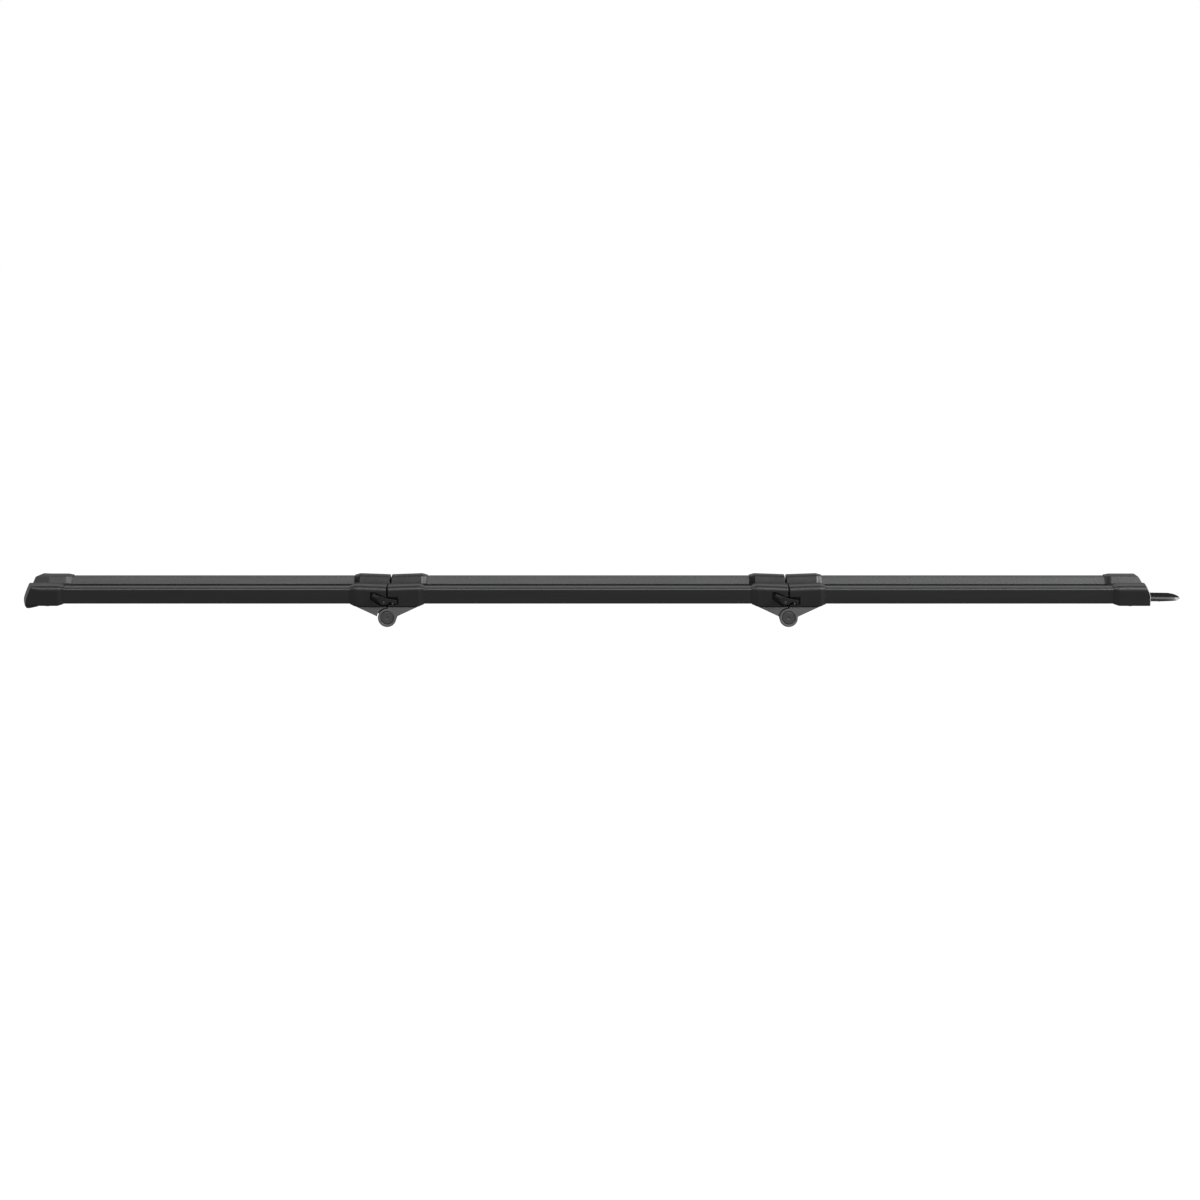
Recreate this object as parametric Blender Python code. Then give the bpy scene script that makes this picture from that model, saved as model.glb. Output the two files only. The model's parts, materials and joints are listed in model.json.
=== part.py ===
"""Three-section folding loading ramp: hollow channel rails hinged at two joints, with side latches.

X runs along the ramp from the ground nose to the hook tongue, Y runs across it and Z is up.
The origin is under the middle of the bounding box, on the plane that the two hinge barrels rest on.
"""

import math

import bmesh
import bpy

# Rail: an extruded channel with hollow walls
RAIL_HALF = 0.054            # half of the outer width
RAIL_BOTTOM = 0.0305         # height of the underside over the resting plane
RAIL_TOP = 0.0515
TRACK_OPEN_HALF = 0.036      # half width of the wheel track at the rims
TRACK_FLOOR_HALF = 0.030
TRACK_FLOOR = 0.0427
WALL = 0.002
WEB_Y = 0.0225               # middle of each web under the track floor
STRIP_HALF = 0.0285
STRIP_THICK = 0.0008

# Moulded housings and caps, which sleeve over the rail ends
SLEEVE_HALF = 0.057
SLEEVE_BOTTOM = 0.027
SLEEVE_OPEN_HALF = 0.026
SLEEVE_FLOOR_HALF = 0.021
SLEEVE_FLOOR = 0.045
LIP = (0.0549, 0.0298, 0.0525, 0.0352, 0.0292, 0.0435)   # the thin mouth of a sleeve, as chains() takes it
MOUTH_TAPER = 0.0065         # length of the slope from the mouth up to the full sleeve
HOUSING_MID = (0.0560, 0.0308, 0.0252, 0.0442)           # half-way up that slope, without top and bottom
HOUSING_MID_TOP = 0.0535
HOUSING_MID_FROM_END = 0.0035
CAP_MID = (0.0562, 0.0284, 0.0534, 0.0308, 0.0252, 0.0442)
HOUSING_LONG = 0.048
HOUSING_BLOCK = 0.024        # solid part between the split face and the rail's socket
HOUSING_TOP = 0.053          # at the split
CORING_DEEP = 0.0125         # the split face is hollowed by boxes with these corners in Y and Z
CORING = (((-0.0405, 0.031), (-0.0295, 0.0490)), ((-0.0255, 0.031), (-0.0015, 0.0415)),
          ((0.0015, 0.031), (0.0255, 0.0415)), ((0.0295, 0.031), (0.0525, 0.0490)))
HOUSING_RISE = math.tan(math.radians(2))
SPLIT_CHAMFER = 0.0012
CAP_TOP = 0.0539
CAP_BOTTOM = 0.0279
GAP = 0.0003                 # clearance between touching pieces
CUT_REACH = 0.060            # cuts made from the outside start this far out
SCREW_R = 0.0019
SCREW_HOLE_R = 0.0022
SCREW_HEAD_R = 0.0036
SCREW_SEAT_R = 0.0038

# Hinges
LEFT_HINGE_X = -0.2798
RIGHT_HINGE_X = 0.2427
AXIS_Z = 0.012
SPLIT_GAP = 0.0008           # from the hinge's plane to each split face
BARREL_R = 0.012
SWEEP_R = 0.0135             # hollow round the other bracket's knuckles
PIN_R = 0.005
PIN_HEAD_R = 0.0085
PIN_HEAD_THICK = 0.0022
PIN_SEAT = 0.0527            # the barrel's ends are counterbored this far out from the middle
PIN_END = 0.0524
PIN_EDGE = 0.0006
PIN_CAP = (0.0530, 0.0552)   # the pressed cap fills the far counterbore
BUSH_R = 0.0066
BRACKET_HALF = 0.0555
KNUCKLE_EDGES = (0.0125, 0.0305)   # where one bracket's knuckles give way to the other's
SLOPE = 0.468                # the bracket's underside rises away from the barrel
SLOPE_START = -0.004         # height of that slope over the hinge axis, carried back to the split
BRACKET_SCREW_U = 0.017      # distance of the bracket screws from the split
BRACKET_SCREW_Y = (-0.042, 0.0, 0.042)

# Latches, placed from their joint's split line
LATCH_X = -0.0043
LATCH_Z = 0.0326
LATCH_FRONT = -0.0567
LATCH_BACK = -0.0510
LATCH_PIVOT_R = 0.0015
POCKET_BACK = -0.0505
TAB_REACH = -0.0690
SPRING_POCKET_BACK = -0.0455
KEEPER_X = 0.0075
KEEPER_Z = 0.0310
KEEPER_R = 0.0014
PIVOT_END = -0.0420          # the pivot and the keeper reach this far into their housings
KEEPER_END = -0.0440
KEEPER_FACE = -0.0565
COIL_R = 0.0033              # the latch spring's coil, and the hollow it sits in
COIL_WIRE_R = 0.0005
COIL_TURNS = 2.5
SPRING_HOLLOW_R = 0.0048
# Outlines in X and Z, with X counted from the split line
LEVER = ((-0.0176, 0.0450), (-0.0005, 0.0378), (0.0118, 0.0357), (0.0130, 0.0346), (0.0130, 0.0310),
         (0.0124, 0.0304), (0.0099, 0.0304), (0.0097, 0.0331), (0.0030, 0.0331), (-0.0005, 0.0294),
         (-0.0070, 0.0294), (-0.0120, 0.0345), (-0.0188, 0.0422))
TAB = ((-0.0174, 0.0447), (-0.0095, 0.0414), (-0.0105, 0.0390), (-0.0185, 0.0422))
LEVER_POCKET = ((0.0010, 0.0282), (0.0010, 0.0390), (-0.0005, 0.0392), (-0.0172, 0.0464), (-0.0218, 0.0464),
                (-0.0218, 0.0372), (-0.0140, 0.0308), (-0.0095, 0.0282))
NOTCH_X = (-0.001, 0.0150)
NOTCH_Z = (0.0293, 0.0402)

# Nose, end cap and tongue
NOSE_SIDE_X = -0.7493        # the nose's foremost edge at its two sides
NOSE_BULGE = 0.009
NOSE_LEAN = 0.008
NOSE_INNER_X = -0.7012
NOSE_SOCKET_X = -0.7270
NOSE_FLOOR = 0.034           # the track floor runs down to this at the tip
NOSE_SCREW_X = -0.7225
PAD_HALF = 0.056
PAD_BOTTOM = 0.0251
PAD_SIDE = ((0.0006, CAP_BOTTOM - GAP), (0.0006, 0.0264), (0.0013, 0.0254), (0.0024, PAD_BOTTOM),
            (0.0055, PAD_BOTTOM), (0.0165, CAP_BOTTOM - GAP))
END_SIDE_X = 0.7128
END_BULGE = 0.003
END_LEAN = 0.0065
END_INNER_X = 0.6654
END_SOCKET_X = 0.7003
END_SCREW_X = 0.6875
CAP_SCREW_Y = 0.045
TONGUE_TIP_X = 0.7583
TONGUE_HALF = 0.020
TONGUE_CORNER_R = 0.0135
TONGUE_SIDE = ((0.6520, 0.0334), (0.7008, 0.0334), (0.7008, 0.0280), (0.7350, 0.0280), (0.7560, 0.0291),
               (TONGUE_TIP_X, 0.0303), (0.7574, 0.0315), (0.7520, 0.0325), (0.7200, 0.0338), (0.7066, 0.0338),
               (0.7066, 0.0388), (0.6520, 0.0388))
TONGUE_SLOT = ((0.6995, 0.0250), (0.7300, 0.0341))       # corners in X and Z
RISER_SLOT = ((0.6994, 0.0320), (0.7069, 0.0391))
TONGUE_RIVET_X = 0.6595
TONGUE_RIVET_Y = 0.012
BUTTON_X = 0.7310
BUTTON_Y = 0.010
BUTTON = ((0, 0.0262), (0.0022, 0.0262), (0.0030, 0.0268), (0.0030, 0.0277), (0, 0.0277))

# The latch tabs reach out on one side only, so the ramp's middle plane stands off the origin
MID_Y = -(TAB_REACH + SLEEVE_HALF) / 2

for old in list(bpy.data.objects):
    bpy.data.objects.remove(old)


def material(name, colour, metallic, roughness):
    made = bpy.data.materials.new(name)
    made.use_nodes = True
    shader = made.node_tree.nodes["Principled BSDF"]
    shader.inputs["Base Color"].default_value = (*colour, 1.0)
    shader.inputs["Metallic"].default_value = metallic
    shader.inputs["Roughness"].default_value = roughness
    return made


ANODISED = material("black_anodised", (0.030, 0.031, 0.033), 0.8, 0.42)
MOULDED = material("black_moulding", (0.024, 0.024, 0.025), 0.0, 0.45)
CAST = material("black_casting", (0.060, 0.060, 0.062), 0.3, 0.60)
STEEL = material("dark_steel", (0.090, 0.090, 0.092), 0.9, 0.40)
SPRING = material("spring_steel", (0.350, 0.350, 0.360), 1.0, 0.30)
RUBBER = material("rubber", (0.018, 0.018, 0.018), 0.0, 0.80)
GRIT = material("grit_strip", (0.010, 0.010, 0.010), 0.0, 0.95)
NYLON = material("nylon", (0.550, 0.540, 0.500), 0.0, 0.50)

# One empty for each moving body, on its joint's axis
BODY_AT = {
    "middle_section": (0.0, 0.0),
    "left_section": (LEFT_HINGE_X, AXIS_Z),
    "right_section": (RIGHT_HINGE_X, AXIS_Z),
    "left_latch": (LEFT_HINGE_X + LATCH_X, LATCH_Z),
    "right_latch": (RIGHT_HINGE_X + LATCH_X, LATCH_Z),
}
AXES = {}
for body, (atX, atZ) in BODY_AT.items():
    AXES[body] = bpy.data.objects.new(body + "_axis", None)
    AXES[body].location = (atX, MID_Y, atZ)
    bpy.context.collection.objects.link(AXES[body])


def placed(name, bm):
    """An object made from a bmesh, with its faces turned outwards."""
    bmesh.ops.recalc_face_normals(bm, faces=bm.faces)
    mesh = bpy.data.meshes.new(name)
    bm.to_mesh(mesh)
    bm.free()
    made = bpy.data.objects.new(name, mesh)
    bpy.context.collection.objects.link(made)
    return made


def part(name, bm, look, body):
    """A piece of the ramp, its mesh kept relative to the axis of the body it moves with."""
    atX, atZ = BODY_AT[body]
    bmesh.ops.translate(bm, verts=bm.verts, vec=(-atX, 0, -atZ))
    made = placed(name, bm)
    made.parent = AXES[body]
    made.data.materials.append(look)
    made.data.shade_smooth()
    made.data.set_sharp_from_angle(angle=math.radians(30))
    return made


def combine(target, operation, *tools, solver="EXACT"):
    """Cuts, joins or intersects the target with each tool; the tools stay hidden."""
    for bm in tools:
        tool = placed(f"{target.name}_tool_{len(target.modifiers)}", bm)
        tool.location.y = MID_Y
        tool.hide_render = True
        tool.display_type = "WIRE"
        step = target.modifiers.new(operation.lower(), "BOOLEAN")
        step.operation = operation
        step.solver = solver
        step.object = tool
    return target


def together(pieces):
    """Several separate solids in one bmesh."""
    whole = bmesh.new()
    for bm in pieces:
        mesh = bpy.data.meshes.new("piece")
        bm.to_mesh(mesh)
        bm.free()
        whole.from_mesh(mesh)
        bpy.data.meshes.remove(mesh)
    return whole


def chains(half, bottom, top, openHalf, floorHalf, floor):
    """The upper and lower outlines of a channel section, as matching lists of (y, z)."""
    topR, bottomR, rim, steps = 0.0026, 0.0015, 0.0012, 3
    upper, lower = [], []
    for step in range(steps + 1):
        turn = math.pi / 2 * step / steps
        along, up = 1 - math.cos(turn), 1 - math.sin(turn)
        upper.append((-half + topR * along, top - topR * up))
        lower.append((-half + bottomR * along, bottom + bottomR * up))
    lean = (openHalf - floorHalf) / (top - floor)
    upper.append((-openHalf - rim, top))
    upper.append((-openHalf + rim * lean, top - rim))
    upper.append((-floorHalf, floor))
    upper.append((-floorHalf / 2, floor))
    lower += [(y, bottom) for y, _ in upper[steps + 1:]]
    farUpper = [(-y, z) for y, z in reversed(upper)]
    farLower = [(-y, z) for y, z in reversed(lower)]
    return upper + [(0.0, floor)] + farUpper, lower + [(0.0, bottom)] + farLower


def loft(sections):
    """A solid through channel sections, each (x, chains); x is a number or a function of y and z."""
    bm = bmesh.new()
    rows = []
    for x, outline in sections:
        rows.append([
            [bm.verts.new((x(y, z) if callable(x) else x, y, z)) for y, z in chain]
            for chain in outline
        ])
    last = len(rows[0][0]) - 1
    for (upA, lowA), (upB, lowB) in zip(rows, rows[1:]):
        for i in range(last):
            bm.faces.new((upA[i], upA[i + 1], upB[i + 1], upB[i]))
            bm.faces.new((lowA[i], lowB[i], lowB[i + 1], lowA[i + 1]))
        bm.faces.new((upA[0], upB[0], lowB[0], lowA[0]))
        bm.faces.new((upA[last], lowA[last], lowB[last], upB[last]))
    for up, low in (rows[0], rows[-1]):
        for i in range(last):
            bm.faces.new((up[i], low[i], low[i + 1], up[i + 1]))
    bmesh.ops.triangulate(bm, faces=bm.faces)
    return bm


def across(outline, stations, shift=lambda y: 0.0):
    """An outline in X and Z carried across through the stations in Y, each moved along X by shift(y)."""
    bm = bmesh.new()
    rows = [[bm.verts.new((x + shift(y), y, z)) for x, z in outline] for y in stations]
    for near, far in zip(rows, rows[1:]):
        for i in range(len(outline)):
            j = (i + 1) % len(outline)
            bm.faces.new((near[i], far[i], far[j], near[j]))
    bm.faces.new(rows[0])
    bm.faces.new(rows[-1])
    return bm


def box(low, high):
    outline = ((low[0], low[2]), (high[0], low[2]), (high[0], high[2]), (low[0], high[2]))
    return across(outline, (low[1], high[1]))


def turned(profile, centre, axis="Z", sides=24):
    """A solid turned round an axis; the profile lists (radius, place along the axis), from 0 to 0."""
    bm = bmesh.new()
    rings = []
    for radius, place in profile:
        count = sides if radius > 0 else 1
        ring = []
        for i in range(count):
            turn = 2 * math.pi * i / sides
            a, b = centre[0] + radius * math.cos(turn), centre[1] + radius * math.sin(turn)
            ring.append(bm.verts.new((a, b, place) if axis == "Z" else (a, place, b)))
        rings.append(ring)
    for ring, following in zip(rings, rings[1:]):
        for i in range(sides):
            j = (i + 1) % sides
            corners = [ring[i % len(ring)], ring[j % len(ring)]]
            corners += [following[j % len(following)], following[i % len(following)]]
            bm.faces.new(list(dict.fromkeys(corners)))
    return bm


def rod(centre, radius, start, end, axis="Y", sides=24):
    return turned(((0, start), (radius, start), (radius, end), (0, end)), centre, axis, sides)


def tube(centre, outer, inner, start, end, sides=16):
    """An open tube along Y."""
    bm = bmesh.new()
    rings = []
    for radius, y in ((outer, start), (outer, end), (inner, end), (inner, start)):
        turns = [2 * math.pi * i / sides for i in range(sides)]
        rings.append([
            bm.verts.new((centre[0] + radius * math.cos(t), y, centre[1] + radius * math.sin(t)))
            for t in turns
        ])
    for ring, following in zip(rings, rings[1:] + rings[:1]):
        for i in range(sides):
            j = (i + 1) % sides
            bm.faces.new((ring[i], ring[j], following[j], following[i]))
    return bm


def screw(x, y, headBottom, seat, tip, headR, shankR):
    """A screw driven upwards: its head is from headBottom to seat, its shank goes on to the tip."""
    rim = 0.0005
    profile = ((0, headBottom), (headR - rim, headBottom), (headR, headBottom + rim), (headR, seat),
               (shankR, seat), (shankR, tip), (0, tip))
    return turned(profile, (x, y), sides=12)


RAIL = (RAIL_HALF, RAIL_BOTTOM, RAIL_TOP, TRACK_OPEN_HALF, TRACK_FLOOR_HALF, TRACK_FLOOR)
SOCKET = (RAIL_HALF + GAP, RAIL_BOTTOM - GAP, RAIL_TOP + GAP,
          TRACK_OPEN_HALF - GAP, TRACK_FLOOR_HALF - GAP, TRACK_FLOOR + GAP)


def railHollows(x0, x1):
    """The three hollows inside an extrusion: one under the track and one under each rim."""
    low, shelf, high = RAIL_BOTTOM + WALL, TRACK_FLOOR - WALL, RAIL_TOP - WALL
    inner = WEB_Y - WALL / 2
    hollows = [box((x0, -inner, low), (x1, inner, shelf))]
    for side in (-1, 1):
        outline = [(WEB_Y + WALL / 2, low), (RAIL_HALF - WALL, low), (RAIL_HALF - WALL, high),
                   (TRACK_OPEN_HALF + WALL, high), (TRACK_FLOOR_HALF + WALL, shelf), (WEB_Y + WALL / 2, shelf)]
        bm = bmesh.new()
        ends = [[bm.verts.new((x, side * y, z)) for y, z in outline] for x in (x0, x1)]
        bm.faces.new(ends[0])
        bm.faces.new(ends[1])
        for i in range(len(outline)):
            j = (i + 1) % len(outline)
            bm.faces.new((ends[0][i], ends[1][i], ends[1][j], ends[0][j]))
        hollows.append(bm)
    return together(hollows)


def rail(place, x0, x1, stripX0, stripX1, body, holes=()):
    """One extrusion and the grit strip on its track floor."""
    made = part("rail_" + place, loft([(x0, chains(*RAIL)), (x1, chains(*RAIL))]), ANODISED, body)
    combine(made, "DIFFERENCE", railHollows(x0 - 0.01, x1 + 0.01))
    if holes:
        bores = [rod((x, y), radius, RAIL_BOTTOM - 0.004, RAIL_BOTTOM + 0.005, "Z", 16) for x, y, radius in holes]
        combine(made, "DIFFERENCE", together(bores))
    low, high = TRACK_FLOOR + GAP, TRACK_FLOOR + GAP + STRIP_THICK
    part("grip_strip_" + place, box((stripX0, -STRIP_HALF, low), (stripX1, STRIP_HALF, high)), GRIT, body)


def housingSections(hingeX, side):
    """Sections of a joint housing, from its split face out to the mouth that the rail enters."""
    slopeFoot = (SLEEVE_BOTTOM - AXIS_Z - SLOPE_START) / SLOPE
    taperEnd = HOUSING_LONG - HOUSING_MID_FROM_END
    taperBottom = AXIS_Z + SLOPE_START + SLOPE * taperEnd
    fullEnd = HOUSING_LONG - MOUTH_TAPER

    def full(u, inset=0.0):
        top = HOUSING_TOP + HOUSING_RISE * u
        return chains(SLEEVE_HALF - inset, SLEEVE_BOTTOM + inset, top - inset,
                      SLEEVE_OPEN_HALF + inset, SLEEVE_FLOOR_HALF + inset, SLEEVE_FLOOR - inset)

    midBottom = AXIS_Z + SLOPE_START + SLOPE * fullEnd
    topAtFull = HOUSING_TOP + HOUSING_RISE * fullEnd
    sections = [
        (SPLIT_GAP, full(SPLIT_GAP, SPLIT_CHAMFER)),
        (SPLIT_GAP + SPLIT_CHAMFER, full(SPLIT_GAP)),
        (slopeFoot, full(slopeFoot)),
        (fullEnd, chains(SLEEVE_HALF, midBottom, topAtFull, SLEEVE_OPEN_HALF, SLEEVE_FLOOR_HALF, SLEEVE_FLOOR)),
        (taperEnd, chains(HOUSING_MID[0], taperBottom, HOUSING_MID_TOP, *HOUSING_MID[1:])),
        (HOUSING_LONG, chains(*LIP)),
    ]
    return [(hingeX + side * u, outline) for u, outline in sections]


def housing(name, hingeX, side, body):
    """A moulded block with a socket for the rail, coring in its split face, and screw holes."""
    made = part(name, loft(housingSections(hingeX, side)), MOULDED, body)
    socket = loft([(hingeX + side * HOUSING_BLOCK, chains(*SOCKET)), (hingeX + side * 0.06, chains(*SOCKET))])
    coring = []
    for low, high in CORING:
        xs = sorted((hingeX - side * 0.001, hingeX + side * CORING_DEEP))
        coring.append(box((xs[0], low[0], low[1]), (xs[1], high[0], high[1])))
    x = hingeX + side * BRACKET_SCREW_U
    bores = [rod((x, y), SCREW_HOLE_R, 0.025, 0.0365, "Z", 12) for y in BRACKET_SCREW_Y]
    return combine(made, "DIFFERENCE", socket, together(coring), together(bores))


def bracketOutline(hingeX, side):
    """The wedge under a housing, running into a full barrel round the hinge axis."""
    top = SLEEVE_BOTTOM - GAP - AXIS_Z
    a, b, c = 1 + SLOPE ** 2, SLOPE * SLOPE_START, SLOPE_START ** 2 - BARREL_R ** 2
    meet = (-b + math.sqrt(b * b - a * c)) / a
    start = math.asin((SLOPE_START + SLOPE * meet) / BARREL_R)
    finish = math.acos(SPLIT_GAP / BARREL_R) - 2 * math.pi
    steps = 24
    outline = [(SPLIT_GAP, top), ((top - SLOPE_START) / SLOPE, top)]
    for step in range(steps + 1):
        turn = start + (finish - start) * step / steps
        outline.append((BARREL_R * math.cos(turn), BARREL_R * math.sin(turn)))
    return [(hingeX + side * u, AXIS_Z + v) for u, v in outline]


def bracket(name, hingeX, side, body, gaps, boreR):
    """A cast hinge bracket; gaps are the stretches in Y where the other bracket's knuckles turn."""
    made = part(name, across(bracketOutline(hingeX, side), (-BRACKET_HALF, BRACKET_HALF)), CAST, body)
    axis = (hingeX, AXIS_Z)
    sweep = [rod(axis, SWEEP_R, low, high, sides=36) for low, high in gaps]
    if side > 0:
        seatR = PIN_HEAD_R + GAP
        bore = ((0, -0.07), (seatR, -0.07), (seatR, -PIN_SEAT), (boreR, -PIN_SEAT),
                (boreR, PIN_SEAT), (seatR, PIN_SEAT), (seatR, 0.07), (0, 0.07))
    else:
        bore = ((0, -0.07), (boreR, -0.07), (boreR, 0.07), (0, 0.07))
    combine(made, "DIFFERENCE", together(sweep), turned(bore, axis, "Y", 24), solver="MANIFOLD")
    x = hingeX + side * BRACKET_SCREW_U
    seats = [rod((x, y), SCREW_SEAT_R, 0.005, AXIS_Z + 0.0113, "Z", 12) for y in BRACKET_SCREW_Y]
    bores = [rod((x, y), SCREW_HOLE_R, 0.015, 0.030, "Z", 12) for y in BRACKET_SCREW_Y]
    combine(made, "DIFFERENCE", together(seats), together(bores), solver="MANIFOLD")
    for number, y in enumerate(BRACKET_SCREW_Y, 1):
        bm = screw(x, y, AXIS_Z + 0.0085, AXIS_Z + 0.0110, 0.0360, SCREW_HEAD_R - 0.0001, SCREW_R)
        part(f"{name}_screw_{number}", bm, STEEL, body)


def hingeParts(place, hingeX, pinBody, bushBody):
    """The pin, its end cap and the two bushes that turn on it."""
    axis = (hingeX, AXIS_Z)
    headFace = -BRACKET_HALF + GAP
    pin = ((0, headFace), (PIN_HEAD_R - PIN_EDGE, headFace), (PIN_HEAD_R, headFace + PIN_EDGE),
           (PIN_HEAD_R, headFace + PIN_HEAD_THICK), (PIN_R, headFace + PIN_HEAD_THICK), (PIN_R, PIN_END), (0, PIN_END))
    part(place + "_hinge_pin", turned(pin, axis, "Y", 24), STEEL, pinBody)
    low, high = PIN_CAP
    cap = ((0, low), (PIN_HEAD_R, low), (PIN_HEAD_R, high - PIN_EDGE), (PIN_HEAD_R - PIN_EDGE, high), (0, high))
    part(place + "_hinge_pin_cap", turned(cap, axis, "Y", 24), MOULDED, pinBody)
    low, high = KNUCKLE_EDGES[0] + 0.0004, KNUCKLE_EDGES[1] - 0.0004
    for where, start, end in (("near", -high, -low), ("far", low, high)):
        part(f"{place}_hinge_bush_{where}", tube(axis, BUSH_R, PIN_R + GAP, start, end), NYLON, bushBody)


def torsionSpring(name, hingeX, body):
    """A small coil round the latch pivot."""
    perTurn, endRoom = 10, 0.0009
    start, end = POCKET_BACK + endRoom, SPRING_POCKET_BACK - endRoom
    count = int(COIL_TURNS * perTurn)
    points = []
    for i in range(count + 1):
        turn = 2 * math.pi * i / perTurn
        points.append((COIL_R * math.cos(turn), start + (end - start) * i / count, COIL_R * math.sin(turn)))
    curve = bpy.data.curves.new(name, "CURVE")
    curve.dimensions = "3D"
    curve.bevel_depth = COIL_WIRE_R
    curve.bevel_resolution = 1
    curve.use_fill_caps = True
    spline = curve.splines.new("POLY")
    spline.points.add(len(points) - 1)
    for point, co in zip(spline.points, points):
        point.co = (*co, 1)
    curve.materials.append(SPRING)
    made = bpy.data.objects.new(name, curve)
    atX, atZ = BODY_AT[body]
    made.parent = AXES[body]
    made.location = (hingeX + LATCH_X - atX, 0, LATCH_Z - atZ)
    bpy.context.collection.objects.link(made)


def latch(place, hingeX, leverBody, leftHousing, rightHousing, leftBody, rightBody):
    """A lever in the left-hand housing whose nose drops behind a keeper in the right-hand one."""
    lever, tab, pocket = [[(hingeX + x, z) for x, z in points] for points in (LEVER, TAB, LEVER_POCKET)]
    notch = box((hingeX + NOTCH_X[0], -CUT_REACH, NOTCH_Z[0]), (hingeX + NOTCH_X[1], POCKET_BACK, NOTCH_Z[1]))
    pivot = (hingeX + LATCH_X, LATCH_Z)
    keeper = (hingeX + KEEPER_X, KEEPER_Z)
    combine(
        leftHousing, "DIFFERENCE",
        across(pocket, (-CUT_REACH, POCKET_BACK)),
        rod(pivot, SPRING_HOLLOW_R, POCKET_BACK - 0.001, SPRING_POCKET_BACK),
        rod(pivot, LATCH_PIVOT_R + GAP, SPRING_POCKET_BACK - 0.001, PIVOT_END + GAP, sides=16),
    )
    combine(rightHousing, "DIFFERENCE", notch,
            rod(keeper, KEEPER_R + GAP, POCKET_BACK - 0.001, KEEPER_END + GAP, sides=16))
    made = part(place + "_latch_lever", across(lever, (LATCH_FRONT, LATCH_BACK)), CAST, leverBody)
    combine(made, "UNION", across(tab, (TAB_REACH, LATCH_FRONT + 0.002)))
    combine(made, "DIFFERENCE", rod(pivot, LATCH_PIVOT_R + GAP, -CUT_REACH, LATCH_BACK + 0.006, sides=16))
    part(place + "_latch_pivot", rod(pivot, LATCH_PIVOT_R, LATCH_FRONT, PIVOT_END, sides=16), STEEL, leftBody)
    part(place + "_latch_keeper", rod(keeper, KEEPER_R, KEEPER_FACE, KEEPER_END, sides=16), STEEL, rightBody)
    torsionSpring(place + "_latch_spring", hingeX, leftBody)


def joint(place, hingeX, leftBody, rightBody, leverBody):
    """Both halves of a folding joint; the two joints are alike."""
    leftHousing = housing(place + "_joint_left_housing", hingeX, -1, leftBody)
    rightHousing = housing(place + "_joint_right_housing", hingeX, 1, rightBody)
    inner, outer = KNUCKLE_EDGES
    room = 0.0002
    leftTurns = [(-outer - room, -inner + room), (inner - room, outer + room)]
    rightTurns = [(-0.060, -outer + room), (-inner - room, inner + room), (outer - room, 0.060)]
    bracket(place + "_joint_left_bracket", hingeX, -1, leftBody, rightTurns, BUSH_R + GAP)
    bracket(place + "_joint_right_bracket", hingeX, 1, rightBody, leftTurns, PIN_R + GAP)
    hingeParts(place, hingeX, rightBody, leftBody)
    latch(place, hingeX, leverBody, leftHousing, rightHousing, leftBody, rightBody)


def noseX(y, z):
    """The nose's end face leans back towards the top and is bowed in plan."""
    lean = NOSE_LEAN * max(0.0, (z - 0.033) / 0.021) ** 1.3
    return NOSE_SIDE_X + lean - noseBow(y)


def noseBow(y):
    return NOSE_BULGE * (1 - (y / SLEEVE_HALF) ** 2)


def endX(y, z):
    lean = END_LEAN * max(0.0, (z - 0.040) / 0.014) ** 1.5
    return END_SIDE_X - lean + END_BULGE * (1 - (y / SLEEVE_HALF) ** 2)


def capSections(innerX, side, taper=MOUTH_TAPER):
    """The mouth end of a cap, from its thin lip to the full section."""
    full = chains(SLEEVE_HALF, CAP_BOTTOM, CAP_TOP, SLEEVE_OPEN_HALF, SLEEVE_FLOOR_HALF, SLEEVE_FLOOR)
    return full, [(innerX, chains(*LIP)), (innerX + side * taper / 2, chains(*CAP_MID)), (innerX + side * taper, full)]


def capScrews(name, x, body):
    for where, y in (("near", -CAP_SCREW_Y), ("far", CAP_SCREW_Y)):
        part(f"{name}_{where}", screw(x, y, 0.0264, CAP_BOTTOM - GAP, 0.0335, SCREW_HEAD_R, SCREW_R), STEEL, body)


def capScrewHoles(x):
    return together([rod((x, y), SCREW_HOLE_R, 0.025, 0.034, "Z", 16) for y in (-CAP_SCREW_Y, CAP_SCREW_Y)])


def nose(body):
    """The ground end: a cap whose track floor runs down to a bowed lip, on a rubber pad."""
    full, sections = capSections(NOSE_INNER_X, -1)
    tip = chains(SLEEVE_HALF, CAP_BOTTOM, CAP_TOP, SLEEVE_OPEN_HALF, SLEEVE_FLOOR_HALF, NOSE_FLOOR)
    sections += [(NOSE_SOCKET_X - 0.002, full), (noseX, tip)]
    cap = part("nose_cap", loft(sections), MOULDED, body)
    socket = loft([(NOSE_SOCKET_X, chains(*SOCKET)), (NOSE_INNER_X + 0.01, chains(*SOCKET))])
    combine(cap, "DIFFERENCE", socket, capScrewHoles(NOSE_SCREW_X))
    capScrews("nose_cap_screw", NOSE_SCREW_X, body)
    outline = [(NOSE_SIDE_X + dx, z) for dx, z in PAD_SIDE]
    stations = [PAD_HALF * step / 6 for step in range(-6, 7)]
    part("nose_ground_pad", across(outline, stations, lambda y: -noseBow(y)), RUBBER, body)


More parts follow.
